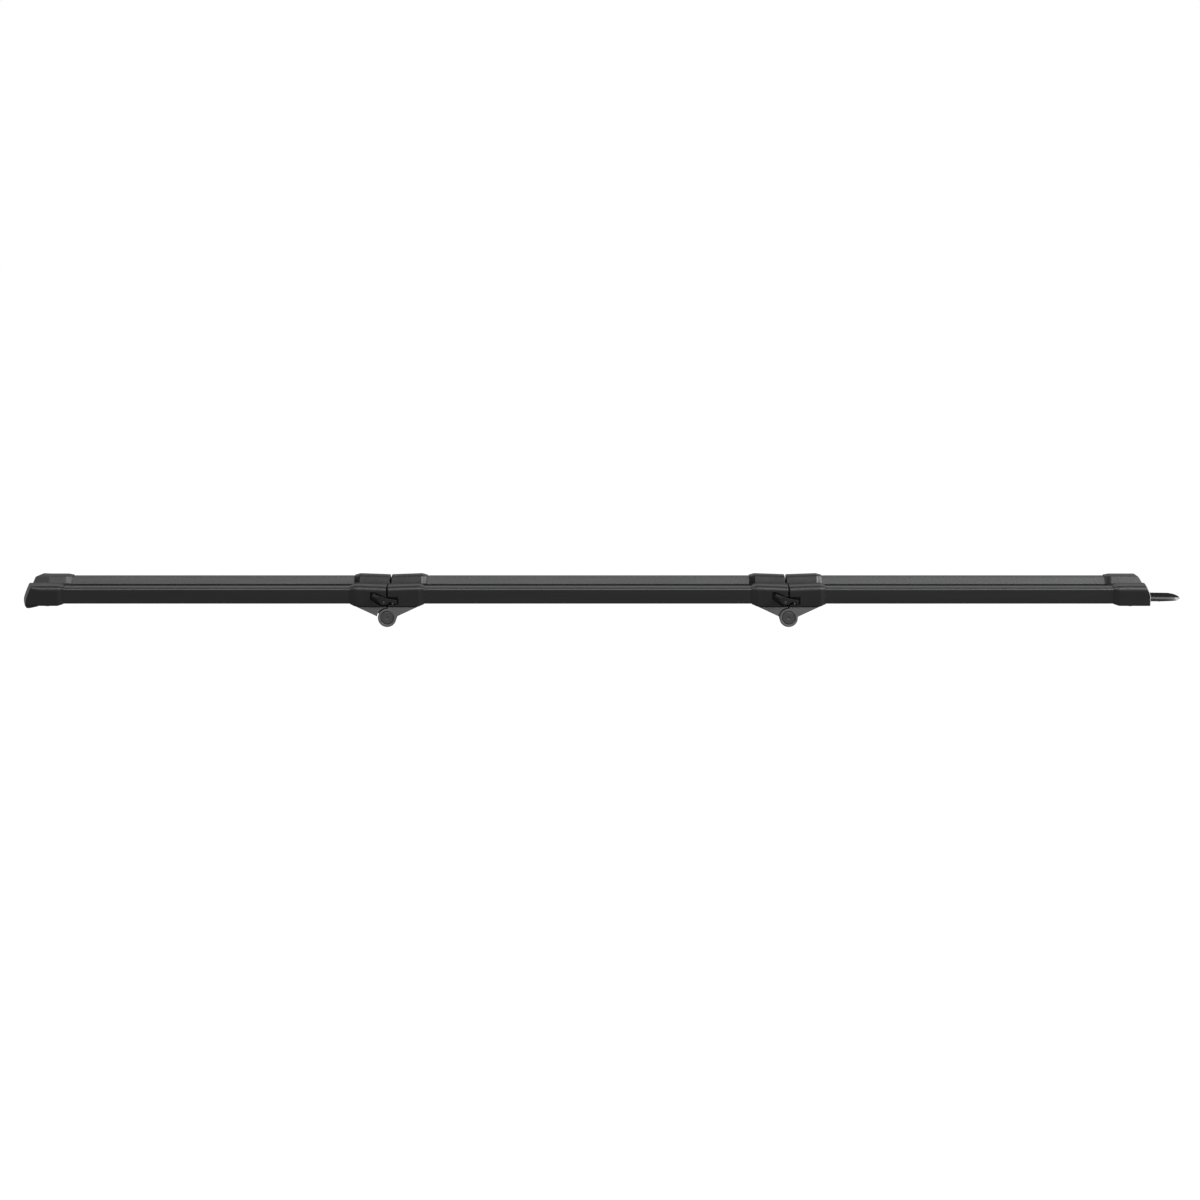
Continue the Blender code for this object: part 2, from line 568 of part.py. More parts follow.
def endCap(body):
    """The bed end: a cap with a slot for the joggled hook tongue, which is riveted inside the rail."""
    full, sections = capSections(END_INNER_X, 1)
    sections += [(END_SOCKET_X + 0.002, full), (endX, full)]
    cap = part("end_cap", loft(sections), MOULDED, body)
    socket = loft([(END_INNER_X - 0.01, chains(*SOCKET)), (END_SOCKET_X, chains(*SOCKET))])
    slotHalf = TONGUE_HALF + GAP
    (x0, z0), (x1, z1) = TONGUE_SLOT
    slot = box((x0, -slotHalf, z0), (x1, slotHalf, z1))
    (x0, z0), (x1, z1) = RISER_SLOT
    riser = box((x0, -slotHalf - 0.0001, z0), (x1, slotHalf + 0.0001, z1))
    combine(cap, "DIFFERENCE", socket, slot, riser, capScrewHoles(END_SCREW_X))
    capScrews("end_cap_screw", END_SCREW_X, body)

    tongue = part("hook_tongue", across(TONGUE_SIDE, (-TONGUE_HALF, TONGUE_HALF)), CAST, body)
    plan = planOutline(0.64, TONGUE_TIP_X, TONGUE_HALF + 0.001, TONGUE_CORNER_R)
    combine(tongue, "INTERSECT", plan)
    holes = [rod((TONGUE_RIVET_X, y), SCREW_HOLE_R, 0.030, 0.045, "Z", 16) for y in (-TONGUE_RIVET_Y, TONGUE_RIVET_Y)]
    combine(tongue, "DIFFERENCE", together(holes))
    for where, side in (("near", -1), ("far", 1)):
        bm = screw(TONGUE_RIVET_X, side * TONGUE_RIVET_Y, 0.0290, RAIL_BOTTOM - GAP, 0.0395, SCREW_HEAD_R, SCREW_R)
        part("tongue_rivet_" + where, bm, STEEL, body)
        part("tongue_button_" + where, turned(BUTTON, (BUTTON_X, side * BUTTON_Y), sides=20), RUBBER, body)


def planOutline(x0, x1, half, cornerR):
    """A plate seen from above, square at x0 and rounded at x1, used to trim the tongue."""
    bm = bmesh.new()
    steps = 6
    rounded = [(x1 - cornerR * (1 - math.cos(t)), half - cornerR * (1 - math.sin(t)))
               for t in (math.pi / 2 * step / steps for step in range(steps + 1))]
    outline = [(x0, -half)] + [(x, -y) for x, y in reversed(rounded)] + rounded + [(x0, half)]
    low = [bm.verts.new((x, y, 0.02)) for x, y in outline]
    high = [bm.verts.new((x, y, 0.05)) for x, y in outline]
    bm.faces.new(low)
    bm.faces.new(high)
    for i in range(len(outline)):
        j = (i + 1) % len(outline)
        bm.faces.new((low[i], low[j], high[j], high[i]))
    return bm


railInset = HOUSING_BLOCK + GAP
stripInset = HOUSING_LONG + 0.001
rail("left", NOSE_SOCKET_X + GAP, LEFT_HINGE_X - railInset, NOSE_INNER_X + 0.001, LEFT_HINGE_X - stripInset,
     "left_section", [(NOSE_SCREW_X, y, SCREW_HOLE_R) for y in (-CAP_SCREW_Y, CAP_SCREW_Y)])
rail("middle", LEFT_HINGE_X + railInset, RIGHT_HINGE_X - railInset,
     LEFT_HINGE_X + stripInset, RIGHT_HINGE_X - stripInset, "middle_section")
rail("right", RIGHT_HINGE_X + railInset, END_SOCKET_X - GAP, RIGHT_HINGE_X + stripInset, END_INNER_X - 0.001,
     "right_section", [(x, side * y, SCREW_HOLE_R) for side in (-1, 1)
                       for x, y in ((END_SCREW_X, CAP_SCREW_Y), (TONGUE_RIVET_X, TONGUE_RIVET_Y))])
joint("left", LEFT_HINGE_X, "left_section", "middle_section", "left_latch")
joint("right", RIGHT_HINGE_X, "middle_section", "right_section", "right_latch")
nose("left_section")
endCap("right_section")
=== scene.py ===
import json
import math

import bmesh
import bpy
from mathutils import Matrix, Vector


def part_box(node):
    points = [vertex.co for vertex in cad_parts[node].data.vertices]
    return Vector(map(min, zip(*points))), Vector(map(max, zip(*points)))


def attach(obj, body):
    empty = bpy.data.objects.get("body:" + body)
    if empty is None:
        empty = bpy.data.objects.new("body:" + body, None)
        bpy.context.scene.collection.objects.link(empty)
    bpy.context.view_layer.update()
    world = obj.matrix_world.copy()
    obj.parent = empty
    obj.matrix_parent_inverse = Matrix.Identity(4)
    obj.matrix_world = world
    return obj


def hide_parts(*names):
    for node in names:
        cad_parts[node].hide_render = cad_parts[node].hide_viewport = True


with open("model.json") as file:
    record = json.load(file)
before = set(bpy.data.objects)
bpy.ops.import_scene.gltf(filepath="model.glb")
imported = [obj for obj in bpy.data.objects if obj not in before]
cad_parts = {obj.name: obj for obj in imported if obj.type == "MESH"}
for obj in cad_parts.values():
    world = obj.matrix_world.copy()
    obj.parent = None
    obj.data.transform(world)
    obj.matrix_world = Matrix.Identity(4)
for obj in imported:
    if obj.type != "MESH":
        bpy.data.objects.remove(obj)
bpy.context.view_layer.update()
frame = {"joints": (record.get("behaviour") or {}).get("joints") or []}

joints = {j["name"]: j for j in frame["joints"]}
midY, axisZ = joints["left_fold"]["pos_m"][1:]
hingeX = {side: joints[side + "_fold"]["pos_m"][0] for side in ("left", "right")}
latchX, _, latchZ = joints["left_latch_press"]["pos_m"]
latchU = latchX - hingeX["left"]     # the latch pivot stands this far from its split


def addNode(tree, kind, inputs=(), **settings):
    made = tree.nodes.new(kind)
    for key, value in settings.items():
        setattr(made, key, value)
    for key, value in dict(inputs).items():
        if isinstance(value, bpy.types.NodeSocket):
            tree.links.new(value, made.inputs[key])
        else:
            made.inputs[key].default_value = value
    return made


def newTree(name, sizes):
    # a Geometry Nodes group with a named input for each size; returns it with its input sockets
    tree = bpy.data.node_groups.new(name, "GeometryNodeTree")
    tree.interface.new_socket("Geometry", in_out="INPUT", socket_type="NodeSocketGeometry")
    for label, value in sizes.items():
        kind = "NodeSocketInt" if isinstance(value, int) else "NodeSocketFloat"
        tree.interface.new_socket(label, in_out="INPUT", socket_type=kind)
    tree.interface.new_socket("Material", in_out="INPUT", socket_type="NodeSocketMaterial")
    tree.interface.new_socket("Geometry", in_out="OUTPUT", socket_type="NodeSocketGeometry")
    return tree, tree.nodes.new("NodeGroupInput").outputs


def closeTree(tree, geometry, material):
    real = addNode(tree, "GeometryNodeRealizeInstances", {"Geometry": geometry}).outputs[0]
    painted = addNode(tree, "GeometryNodeSetMaterial", {"Geometry": real, "Material": material}).outputs[0]
    tree.links.new(painted, tree.nodes.new("NodeGroupOutput").inputs[0])


def moved(tree, geometry, offset=(0, 0, 0), turn=(0, 0, 0)):
    return addNode(tree, "GeometryNodeTransform", {"Geometry": geometry, "Translation": offset,
                                                   "Rotation": [math.radians(a) for a in turn]}).outputs[0]


def upBy(tree, height):
    return addNode(tree, "ShaderNodeCombineXYZ", {"Z": height}).outputs[0]


def grow(seed, tree, sizes, look):
    # runs a tree on a seed bmesh and gives back the plain mesh
    holder = bpy.data.objects.new("seed", bpy.data.meshes.new("seed"))
    seed.to_mesh(holder.data)
    seed.free()
    bpy.context.scene.collection.objects.link(holder)
    modifier = holder.modifiers.new("grow", "NODES")
    modifier.node_group = tree
    for item in tree.interface.items_tree:
        if item.item_type == "SOCKET" and item.in_out == "INPUT" and item.name != "Geometry":
            modifier[item.identifier] = look if item.name == "Material" else sizes[item.name]
    ready = holder.evaluated_get(bpy.context.evaluated_depsgraph_get())
    mesh = bpy.data.meshes.new_from_object(ready)
    holder.modifiers.remove(modifier)
    bpy.data.objects.remove(holder)
    return mesh


def filleted(corners, steps=5):
    # a closed outline, each (a, b, radius) corner rounded
    outline = []
    for i, (a, b, radius) in enumerate(corners):
        if not radius:
            outline.append((a, b))
            continue
        here = Vector((a, b))
        back = (Vector(corners[i - 1][:2]) - here).normalized()
        ahead = (Vector(corners[(i + 1) % len(corners)][:2]) - here).normalized()
        half = back.angle(ahead) / 2
        centre = here + (back + ahead).normalized() * (radius / math.sin(half))
        first, final = [here + way * (radius / math.tan(half)) - centre for way in (back, ahead)]
        sweep = math.atan2(first.x * final.y - first.y * final.x, first.dot(final))
        for step in range(steps + 1):
            c, s = math.cos(sweep * step / steps), math.sin(sweep * step / steps)
            outline.append((centre.x + first.x * c - first.y * s, centre.y + first.x * s + first.y * c))
    return outline


def prism(outline, axis, low, high):
    # an outline carried along an axis; it lists (y, z), (x, z) or (x, y)
    at = {"X": lambda a, b, c: (c, a, b), "Y": lambda a, b, c: (a, c, b),
          "Z": lambda a, b, c: (a, b, c)}[axis]
    bm = bmesh.new()
    ends = [[bm.verts.new(at(a, b, c)) for a, b in outline] for c in (low, high)]
    for i in range(len(outline)):
        j = (i + 1) % len(outline)
        bm.faces.new((ends[0][i], ends[0][j], ends[1][j], ends[1][i]))
    bm.faces.new(ends[0])
    bm.faces.new(ends[1])
    return bm


def turned(profile, centre, axis="Y", sides=64):
    # a solid of revolution; the profile lists (radius, place) from the axis back to the axis
    bm = bmesh.new()
    rings = []
    for radius, place in profile:
        ring = []
        for i in range(sides if radius > 0 else 1):
            a = centre[0] + radius * math.cos(2 * math.pi * i / sides)
            b = centre[1] + radius * math.sin(2 * math.pi * i / sides)
            ring.append(bm.verts.new((a, place, b) if axis == "Y" else (a, b, place)))
        rings.append(ring)
    for one, two in zip(rings, rings[1:]):
        for i in range(sides):
            j = (i + 1) % sides
            corners = [one[i % len(one)], one[j % len(one)], two[j % len(two)], two[i % len(two)]]
            bm.faces.new(list(dict.fromkeys(corners)))
    return bm


def rod(centre, radius, low, high, axis="Y", sides=64):
    return turned(((0, low), (radius, low), (radius, high), (0, high)), centre, axis, sides)


def roundRod(centre, radius, low, high, edge, axis="Y", sides=48):
    # a rod with rounded ends
    bends = [math.pi / 2 * step / 4 for step in range(5)]
    profile = [(0, low)] + [(radius - edge * (1 - math.sin(t)), low + edge * (1 - math.cos(t)))
                            for t in bends]
    profile += [(radius - edge * (1 - math.sin(t)), high - edge * (1 - math.cos(t))) for t in reversed(bends)]
    return turned(profile + [(0, high)], centre, axis, sides)


def gathered(pieces):
    bm = bmesh.new()
    for piece in pieces:
        mesh = bpy.data.meshes.new("piece")
        piece.to_mesh(mesh)
        piece.free()
        bm.from_mesh(mesh)
        bpy.data.meshes.remove(mesh)
    return bm


def carve(base, *tools, operation="DIFFERENCE"):
    # cuts a bmesh with others and gives back the result
    holders = []
    for bm in (base, *tools):
        bmesh.ops.recalc_face_normals(bm, faces=bm.faces)
        holder = bpy.data.objects.new("carve", bpy.data.meshes.new("carve"))
        bm.to_mesh(holder.data)
        bm.free()
        bpy.context.scene.collection.objects.link(holder)
        holders.append(holder)
    for tool in holders[1:]:
        step = holders[0].modifiers.new("cut", "BOOLEAN")
        step.operation, step.solver, step.object = operation, "MANIFOLD", tool
    ready = holders[0].evaluated_get(bpy.context.evaluated_depsgraph_get())
    mesh = bpy.data.meshes.new_from_object(ready)
    made = bmesh.new()
    made.from_mesh(mesh)
    bpy.data.meshes.remove(mesh)
    for holder in holders:
        bpy.data.objects.remove(holder)
    return made


def fit(name, shape, look, body, slot, *nodes, sharp=34):
    # a finished piece, in place of its CAD nodes and riding on its body
    if isinstance(shape, bmesh.types.BMesh):
        mesh = bpy.data.meshes.new(name)
        bmesh.ops.remove_doubles(shape, verts=shape.verts, dist=1e-6)
        bmesh.ops.recalc_face_normals(shape, faces=shape.faces)
        shape.to_mesh(mesh)
        shape.free()
        mesh.materials.append(look)
    else:
        mesh = shape
    mesh.shade_smooth()
    mesh.set_sharp_from_angle(angle=math.radians(sharp))
    piece = bpy.data.objects.new(name, mesh)
    bpy.context.scene.collection.objects.link(piece)
    even = piece.modifiers.new("even shading", "WEIGHTED_NORMAL")
    even.keep_sharp = True
    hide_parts(*nodes)
    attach(piece, body)
    return piece


def calc(tree, operation, *values):
    return addNode(tree, "ShaderNodeMath", dict(enumerate(values)), operation=operation).outputs[0]


def ramp(tree, value, low, high, start=0.0, end=1.0):
    return addNode(tree, "ShaderNodeMapRange", {"Value": value, 1: low, 2: high, 3: start, 4: end}).outputs[0]


def blend(tree, share, one, two):
    return addNode(tree, "ShaderNodeMixRGB", {"Fac": share, "Color1": one, "Color2": two}).outputs[0]


def toned(colour, share):
    return (*[min(1, c * share) for c in colour], 1)


def paintTrackLightAndShade(tree, tone, sheen, colour, place, normal, track):
    # painted light and shade across the track: its inner side walls are coloured lighter where the front
    # light falls on them, with painted shade along their foot; upward faces inside the track (the floor and
    # the inner part of the rim tops) are coloured darker as painted shade; sheen is lowered on both
    facing = addNode(tree, "ShaderNodeSeparateXYZ", {"Vector": normal}).outputs
    spot = addNode(tree, "ShaderNodeSeparateXYZ", {"Vector": place}).outputs
    off = calc(tree, "ABSOLUTE", calc(tree, "SUBTRACT", spot["Y"], midY))
    inside = ramp(tree, off, track["half"], track["half"] + 0.0006, 1.0, 0.0)
    # share of painted light on the inner side walls
    side = calc(tree, "MULTIPLY", ramp(tree, calc(tree, "ABSOLUTE", facing["Y"]), 0.4, 0.6), inside)
    # share of painted shade on the upward faces inside the track
    rim = calc(tree, "MULTIPLY", ramp(tree, facing["Z"], 0.90, 0.97, 0.0, track["rim"]), inside)
    # painted shade below the foot height, painted light on the walls above it
    aboveFootShade = ramp(tree, spot["Z"], track["foot"] - 0.0008, track["foot"] + 0.0006)
    wall = blend(tree, aboveFootShade, toned(colour, 0.5), toned(colour, track["tone"]))
    # the painted light and shade mixed into the colour, with the sheen lowered where they are painted
    paintedTone = blend(tree, rim, blend(tree, side, tone, wall), toned(colour, 0.3))
    return paintedTone, ramp(tree, calc(tree, "MULTIPLY_ADD", side, 0.5, rim), 0.0, 1.0, sheen, 0.0)


def makeFinish(name, colour, rough, grain, depth, specular=0.25, metallic=0.0, stretch=(1, 1, 1), blotch=0.18,
               wear=0.0, wornTone=2.5, softEdge=0.0004, patch=45.0, track=None, dullTop=False):
    # cloudy tone, fine grain in the surface, and edges rubbed a little lighter
    look = bpy.data.materials.new(name)
    look.use_nodes = True
    tree = look.node_tree
    shader = tree.nodes["Principled BSDF"]
    place = addNode(tree, "ShaderNodeTexCoord").outputs["Object"]
    laid = addNode(tree, "ShaderNodeMapping", {"Vector": place, "Scale": stretch}).outputs[0]
    patches = {"Vector": laid, "Scale": patch, "Detail": 5.0, "Roughness": 0.6}
    cloud = addNode(tree, "ShaderNodeTexNoise", patches).outputs[0]
    fine = addNode(tree, "ShaderNodeTexNoise", {"Vector": laid, "Scale": 1 / grain, "Detail": 3.0}).outputs[0]
    rounded = addNode(tree, "ShaderNodeBevel", {"Radius": softEdge}, samples=4).outputs[0]
    normal = addNode(tree, "ShaderNodeNewGeometry").outputs["Normal"]
    share = calc(tree, "MULTIPLY_ADD", cloud, fine, fine)
    shades = blend(tree, share, toned(colour, 1 - blotch), toned(colour, 1 + blotch))
    edge = addNode(tree, "ShaderNodeVectorMath", {0: rounded, 1: normal},
                   operation="DOT_PRODUCT").outputs["Value"]
    rubbed = calc(tree, "MULTIPLY", ramp(tree, edge, 0.99, 0.75, 0.0, wear), cloud)
    tone = blend(tree, rubbed, shades, toned(colour, wornTone))
    shader.inputs["Specular IOR Level"].default_value = specular
    # a track paints light on its inner walls, and shade at their foot and on its upward faces
    if track:
        tone, sheen = paintTrackLightAndShade(tree, tone, specular, colour, place, normal, track)
        tree.links.new(sheen, shader.inputs["Specular IOR Level"])
    if dullTop:
        up = addNode(tree, "ShaderNodeSeparateXYZ", {"Vector": normal}).outputs["Z"]
        tree.links.new(ramp(tree, up, 0.85, 0.98, specular, 0.0), shader.inputs["Specular IOR Level"])
    tree.links.new(tone, shader.inputs["Base Color"])
    tree.links.new(ramp(tree, cloud, 0.3, 0.7, rough - 0.05, rough + 0.05), shader.inputs["Roughness"])
    dents = {"Height": fine, "Strength": 0.6, "Distance": depth, "Normal": rounded}
    tree.links.new(addNode(tree, "ShaderNodeBump", dents).outputs[0], shader.inputs["Normal"])
    shader.inputs["Metallic"].default_value = metallic
    return look


blackMoulding = {"colour": (0.0062, 0.0062, 0.0064), "rough": 0.42, "grain": 0.0006, "depth": 0.00007,
                 "wear": 0.35}
# in each track entry, tone lightens the inner walls as painted light, foot is the height under which the
# walls are darkened as painted shade, and the last number is the share of painted shade on the track's upward
# faces
finishes = {
    "anodised": makeFinish("black_anodised_skin", (0.0068, 0.0069, 0.0071), 0.38, 0.0007, 0.00004,
                           specular=0.28,
                           stretch=(0.035, 1, 1), wear=0.5, wornTone=4.0, softEdge=0.0003, patch=160.0,
                           track={"half": 0.0372, "tone": 3.4, "foot": 0.0, "rim": 0.4}),
    "moulded": makeFinish("black_moulded_skin", **blackMoulding,
                          track={"half": 0.0372, "tone": 4.6, "foot": 0.0, "rim": 0.4}),
    "housing": makeFinish("joint_moulding_skin", **blackMoulding,
                          track={"half": 0.0372, "tone": 1.3, "foot": 0.0484, "rim": 0.85}),
    "cast": makeFinish("coarse_cast_skin", (0.054, 0.054, 0.056), 0.62, 0.0013, 0.00030, specular=0.3,
                       wear=0.6,
                       wornTone=1.8, softEdge=0.0006, blotch=0.3, patch=120.0),
    "coated": makeFinish("coated_plate_skin", (0.0060, 0.0060, 0.0062), 0.50, 0.0009, 0.00005, specular=0.5,
                         wear=0.6, wornTone=6.0, softEdge=0.0005, dullTop=True),
    "steel": makeFinish("blackened_steel_skin", (0.036, 0.036, 0.038), 0.44, 0.0006, 0.00004, specular=0.5,
                        metallic=0.35, wear=0.8, wornTone=4.0, blotch=0.25, patch=150.0),
    "spring": makeFinish("spring_wire_skin", (0.35, 0.35, 0.36), 0.30, 0.0004, 0.00002, specular=0.5,
                         metallic=1.0),
    "rubber": makeFinish("pad_rubber_skin", (0.012, 0.012, 0.012), 0.75, 0.0005, 0.00008, specular=0.2,
                         wear=0.3),
    "grit": makeFinish("grit_skin", (0.0080, 0.0080, 0.0082), 0.95, 0.0005, 0.00010, specular=0.0, blotch=0.5,
                       softEdge=0.0001),
    "nylon": makeFinish("nylon_skin", (0.55, 0.54, 0.50), 0.50, 0.0006, 0.00003, specular=0.4, wear=0.3,
                        wornTone=1.2),
}
print("finishes made")


def channel(s, inset=0.0, steps=6):
    # matching upper and lower rows of (y, z) round a channel, set in by inset
    half, bottom, top = s["half"] - inset, s["bottom"] + inset, s["top"] - inset
    rounds = [max(s[key] - inset, 0.0003) for key in ("topRound", "bottomRound")]
    loop = filleted([
        (-half, (bottom + top) / 2, 0), (-half, top, rounds[0]), (-s["openHalf"] - inset, top, s["rimRound"]),
        (-s["floorHalf"] - inset, s["floor"] - inset, s["footRound"]), (0, s["floor"] - inset, 0),
        (0, bottom, 0),
        (-half, bottom, rounds[1])], steps)
    count = steps + 1
    upper = loop[1:3 * count + 2]
    lower = loop[:-count - 1:-1] + [(y, bottom) for y, _ in upper[count:]]
    return [chain + [(-y, z) for y, z in reversed(chain[:-1])] for chain in (upper, lower)]


def loft(sections, rows=1):
    # a solid through channel sections (x, rows of points); x may be a function of y and z
    bm = bmesh.new()
    grids = []
    for x, (upper, lower) in sections:
        at = x if callable(x) else (lambda y, z, x=x: x)
        columns = []
        for i, ((ya, za), (yb, zb)) in enumerate(zip(upper, lower)):
            ends = (0, len(upper) - 1)
            cap = x is sections[0][0] or x is sections[-1][0]
            inner = rows if cap or i in ends else 1
            points = [(ya + (yb - ya) * k / inner, za + (zb - za) * k / inner) for k in range(inner + 1)]
            columns.append([bm.verts.new((at(y, z), y + midY, z)) for y, z in points])
        grids.append(columns)
    for one, two in zip(grids, grids[1:]):
        for i in range(len(one) - 1):
            bm.faces.new((one[i][0], one[i + 1][0], two[i + 1][0], two[i][0]))
            bm.faces.new((one[i][-1], two[i][-1], two[i + 1][-1], one[i + 1][-1]))
        for column, other in ((one[0], two[0]), (one[-1], two[-1])):
            for k in range(rows):
                bm.faces.new((column[k], column[k + 1], other[k + 1], other[k]))
    for columns in (grids[0], grids[-1]):
        for one, two in zip(columns, columns[1:]):
            for k in range(rows):
                bm.faces.new((one[k], one[k + 1], two[k + 1], two[k]))
    return bm


def between(a, b, share):
    return {key: a[key] + (b[key] - a[key]) * share for key in a}


def roundedEnd(section, x, way, radius, steps=4):
    # the sections of a rounded end edge, from the end face inwards; x is the end's place or a function
    made = []
    for step in range(steps + 1):
        t = math.pi / 2 * step / steps
        shift = way * radius * (1 - math.cos(t))
        if callable(x):
            place = lambda y, z, shift=shift: x(y, z) + shift
        else:
            place = x + shift
        made.append((place, channel(section, radius * (1 - math.sin(t)))))
    return made


def mouth(full, lip, x0, x1):
    # the sleeve's slope from its full section down to the thin lip, with soft shoulders
    made = []
    for step in range(9):
        t = step / 8
        share = 0.45 * t + 0.55 * (3 * t * t - 2 * t ** 3)
        made.append((x0 + (x1 - x0) * t, channel(between(full, lip, share))))
    return made


rail = {
    "half": 0.054, "bottom": 0.0305, "top": 0.0515, "openHalf": 0.036, "floorHalf": 0.030, "floor": 0.0427,
    "topRound": 0.0040, "bottomRound": 0.0015, "rimRound": 0.0008, "footRound": 0.0010, "wall": 0.002,
    "web": 0.0225,
}


def railOutline(r):
    # the outer line of the extrusion, with its well rounded outer corners
    half, top = r["half"], r["top"]
    side = [(half, r["bottom"], r["bottomRound"]), (half, top, r["topRound"]),
            (r["openHalf"], top, r["rimRound"]),
            (r["floorHalf"], r["floor"], r["footRound"])]
    return filleted(side + [(-y, z, radius) for y, z, radius in reversed(side)], 6)


def railHollows(r):
    # the three hollows: one under the track and one under each rim
    low, shelf, high = r["bottom"] + r["wall"], r["floor"] - r["wall"], r["top"] - r["wall"]
    inner, outer, soft = r["web"] - r["wall"] / 2, r["web"] + r["wall"] / 2, 0.0008
    hollows = [[(-inner, low, soft), (inner, low, soft), (inner, shelf, soft), (-inner, shelf, soft)]]
    for way in (-1, 1):
        hollows.append([(way * y, z, soft) for y, z in (
            (outer, low), (r["half"] - r["wall"], low), (r["half"] - r["wall"], high - 0.0004),
            (r["openHalf"] + r["wall"], high - 0.0004), (r["floorHalf"] + r["wall"], shelf), (outer, shelf))])
    return [filleted(corners, 3) for corners in hollows]


def extrusionTree():
    # fills the section lines, carries them along and closes the far end
    tree, given = newTree("rail_extrusion", {"Start": 0.0, "Length": 1.0})
    lines = addNode(tree, "GeometryNodeMeshToCurve", {"Mesh": given["Geometry"]}).outputs[0]
    face = addNode(tree, "GeometryNodeFillCurve", {"Curve": lines}, mode="TRIANGLES").outputs[0]
    drawn = addNode(tree, "GeometryNodeExtrudeMesh", {"Mesh": face, "Offset": upBy(tree, given["Length"]),
                                                      "Offset Scale": 1.0, "Individual": False}).outputs[0]
    back = addNode(tree, "GeometryNodeFlipFaces", {"Mesh": face}).outputs[0]
    both = addNode(tree, "GeometryNodeJoinGeometry")
    for shell in (drawn, back):
        tree.links.new(shell, both.inputs[0])
    whole = addNode(tree, "GeometryNodeMergeByDistance", {"Geometry": both.outputs[0],
                                                          "Distance": 0.00001}).outputs[0]
    whole = moved(tree, whole, upBy(tree, given["Start"]))
    closeTree(tree, moved(tree, whole, turn=(90, 0, 90)), given["Material"])
    return tree


def gritTree():
    # a thin film with a scatter of mineral grains over its top
    sizes = {"Film": 0.0004, "Density": 1.0, "Grain": 0.0005, "Seed": 3}
    tree, given = newTree("grit_film", sizes)
    drawn = addNode(tree, "GeometryNodeExtrudeMesh", {"Mesh": given["Geometry"],
                                                      "Offset": upBy(tree, given["Film"]),
                                                      "Offset Scale": 1.0, "Individual": False})
    under = addNode(tree, "GeometryNodeFlipFaces", {"Mesh": given["Geometry"]}).outputs[0]
    top = addNode(tree, "GeometryNodeSeparateGeometry", {"Geometry": drawn.outputs["Mesh"],
                                                         "Selection": drawn.outputs["Top"]},
                  domain="FACE").outputs[0]
    points = addNode(tree, "GeometryNodeDistributePointsOnFaces", {"Mesh": top, "Density": given["Density"],
                                                                   "Seed": given["Seed"]})
    grain = addNode(tree, "GeometryNodeMeshIcoSphere", {"Radius": given["Grain"],
                                                        "Subdivisions": 1}).outputs[0]
    spin = addNode(tree, "FunctionNodeRandomValue", {"Max": (6.28, 6.28, 6.28), "Seed": given["Seed"]},
                   data_type="FLOAT_VECTOR").outputs[0]
    size = addNode(tree, "FunctionNodeRandomValue", {2: 0.45, 3: 1.0, "Seed": given["Seed"]},
                   data_type="FLOAT").outputs[1]
    grains = addNode(tree, "GeometryNodeInstanceOnPoints", {"Points": points.outputs[0], "Instance": grain,
                                                            "Rotation": spin,
                                                            "Scale": size}).outputs[0]
    film = addNode(tree, "GeometryNodeJoinGeometry")
    for shell in (drawn.outputs["Mesh"], under):
        tree.links.new(shell, film.inputs[0])
    closed = addNode(tree, "GeometryNodeMergeByDistance", {"Geometry": film.outputs[0],
                                                           "Distance": 0.00001}).outputs[0]
    whole = addNode(tree, "GeometryNodeJoinGeometry")
    for shell in (closed, grains):
        tree.links.new(shell, whole.inputs[0])
    closeTree(tree, whole.outputs[0], given["Material"])
    return tree


def ringEdges(outlines):
    bm = bmesh.new()
    for outline in outlines:
        ring = [bm.verts.new((a, b, 0)) for a, b in outline]
        for i in range(len(ring)):
            bm.edges.new((ring[i - 1], ring[i]))
    return bm


extrusion, gritFilm = extrusionTree(), gritTree()
grit = {"Film": 0.00045, "Density": 260000.0, "Grain": 0.00034, "corner": 0.006, "inset": 0.0004}
for place in ("left", "middle", "right"):
    low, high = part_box("rail_" + place)
    outlines = [[(y + midY, z) for y, z in line] for line in [railOutline(rail)] + railHollows(rail)]
    mesh = grow(ringEdges(outlines), extrusion, {"Start": low.x, "Length": high.x - low.x},
                finishes["anodised"])
    fit("extruded_rail_" + place, mesh, finishes["anodised"], place + "_section", "black_anodised",
        "rail_" + place)
    low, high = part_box("grip_strip_" + place)
    edge = grit["inset"]
    outline = filleted([(x, y, grit["corner"]) for x, y in (
        (low.x + edge, low.y + edge), (high.x - edge, low.y + edge), (high.x - edge, high.y - edge),
        (low.x + edge, high.y - edge))])
    film = bmesh.new()
    film.faces.new([film.verts.new((x, y, low.z)) for x, y in outline])
    bmesh.ops.recalc_face_normals(film, faces=film.faces)
    if film.faces[:][0].normal.z < 0:
        bmesh.ops.reverse_faces(film, faces=film.faces)
    mesh = grow(film, gritFilm, {**grit, "Seed": 3}, finishes["grit"])
    fit("grit_strip_" + place, mesh, finishes["grit"], place + "_section", "grit_strip",
        "grip_strip_" + place)
print("rails and grit strips made")


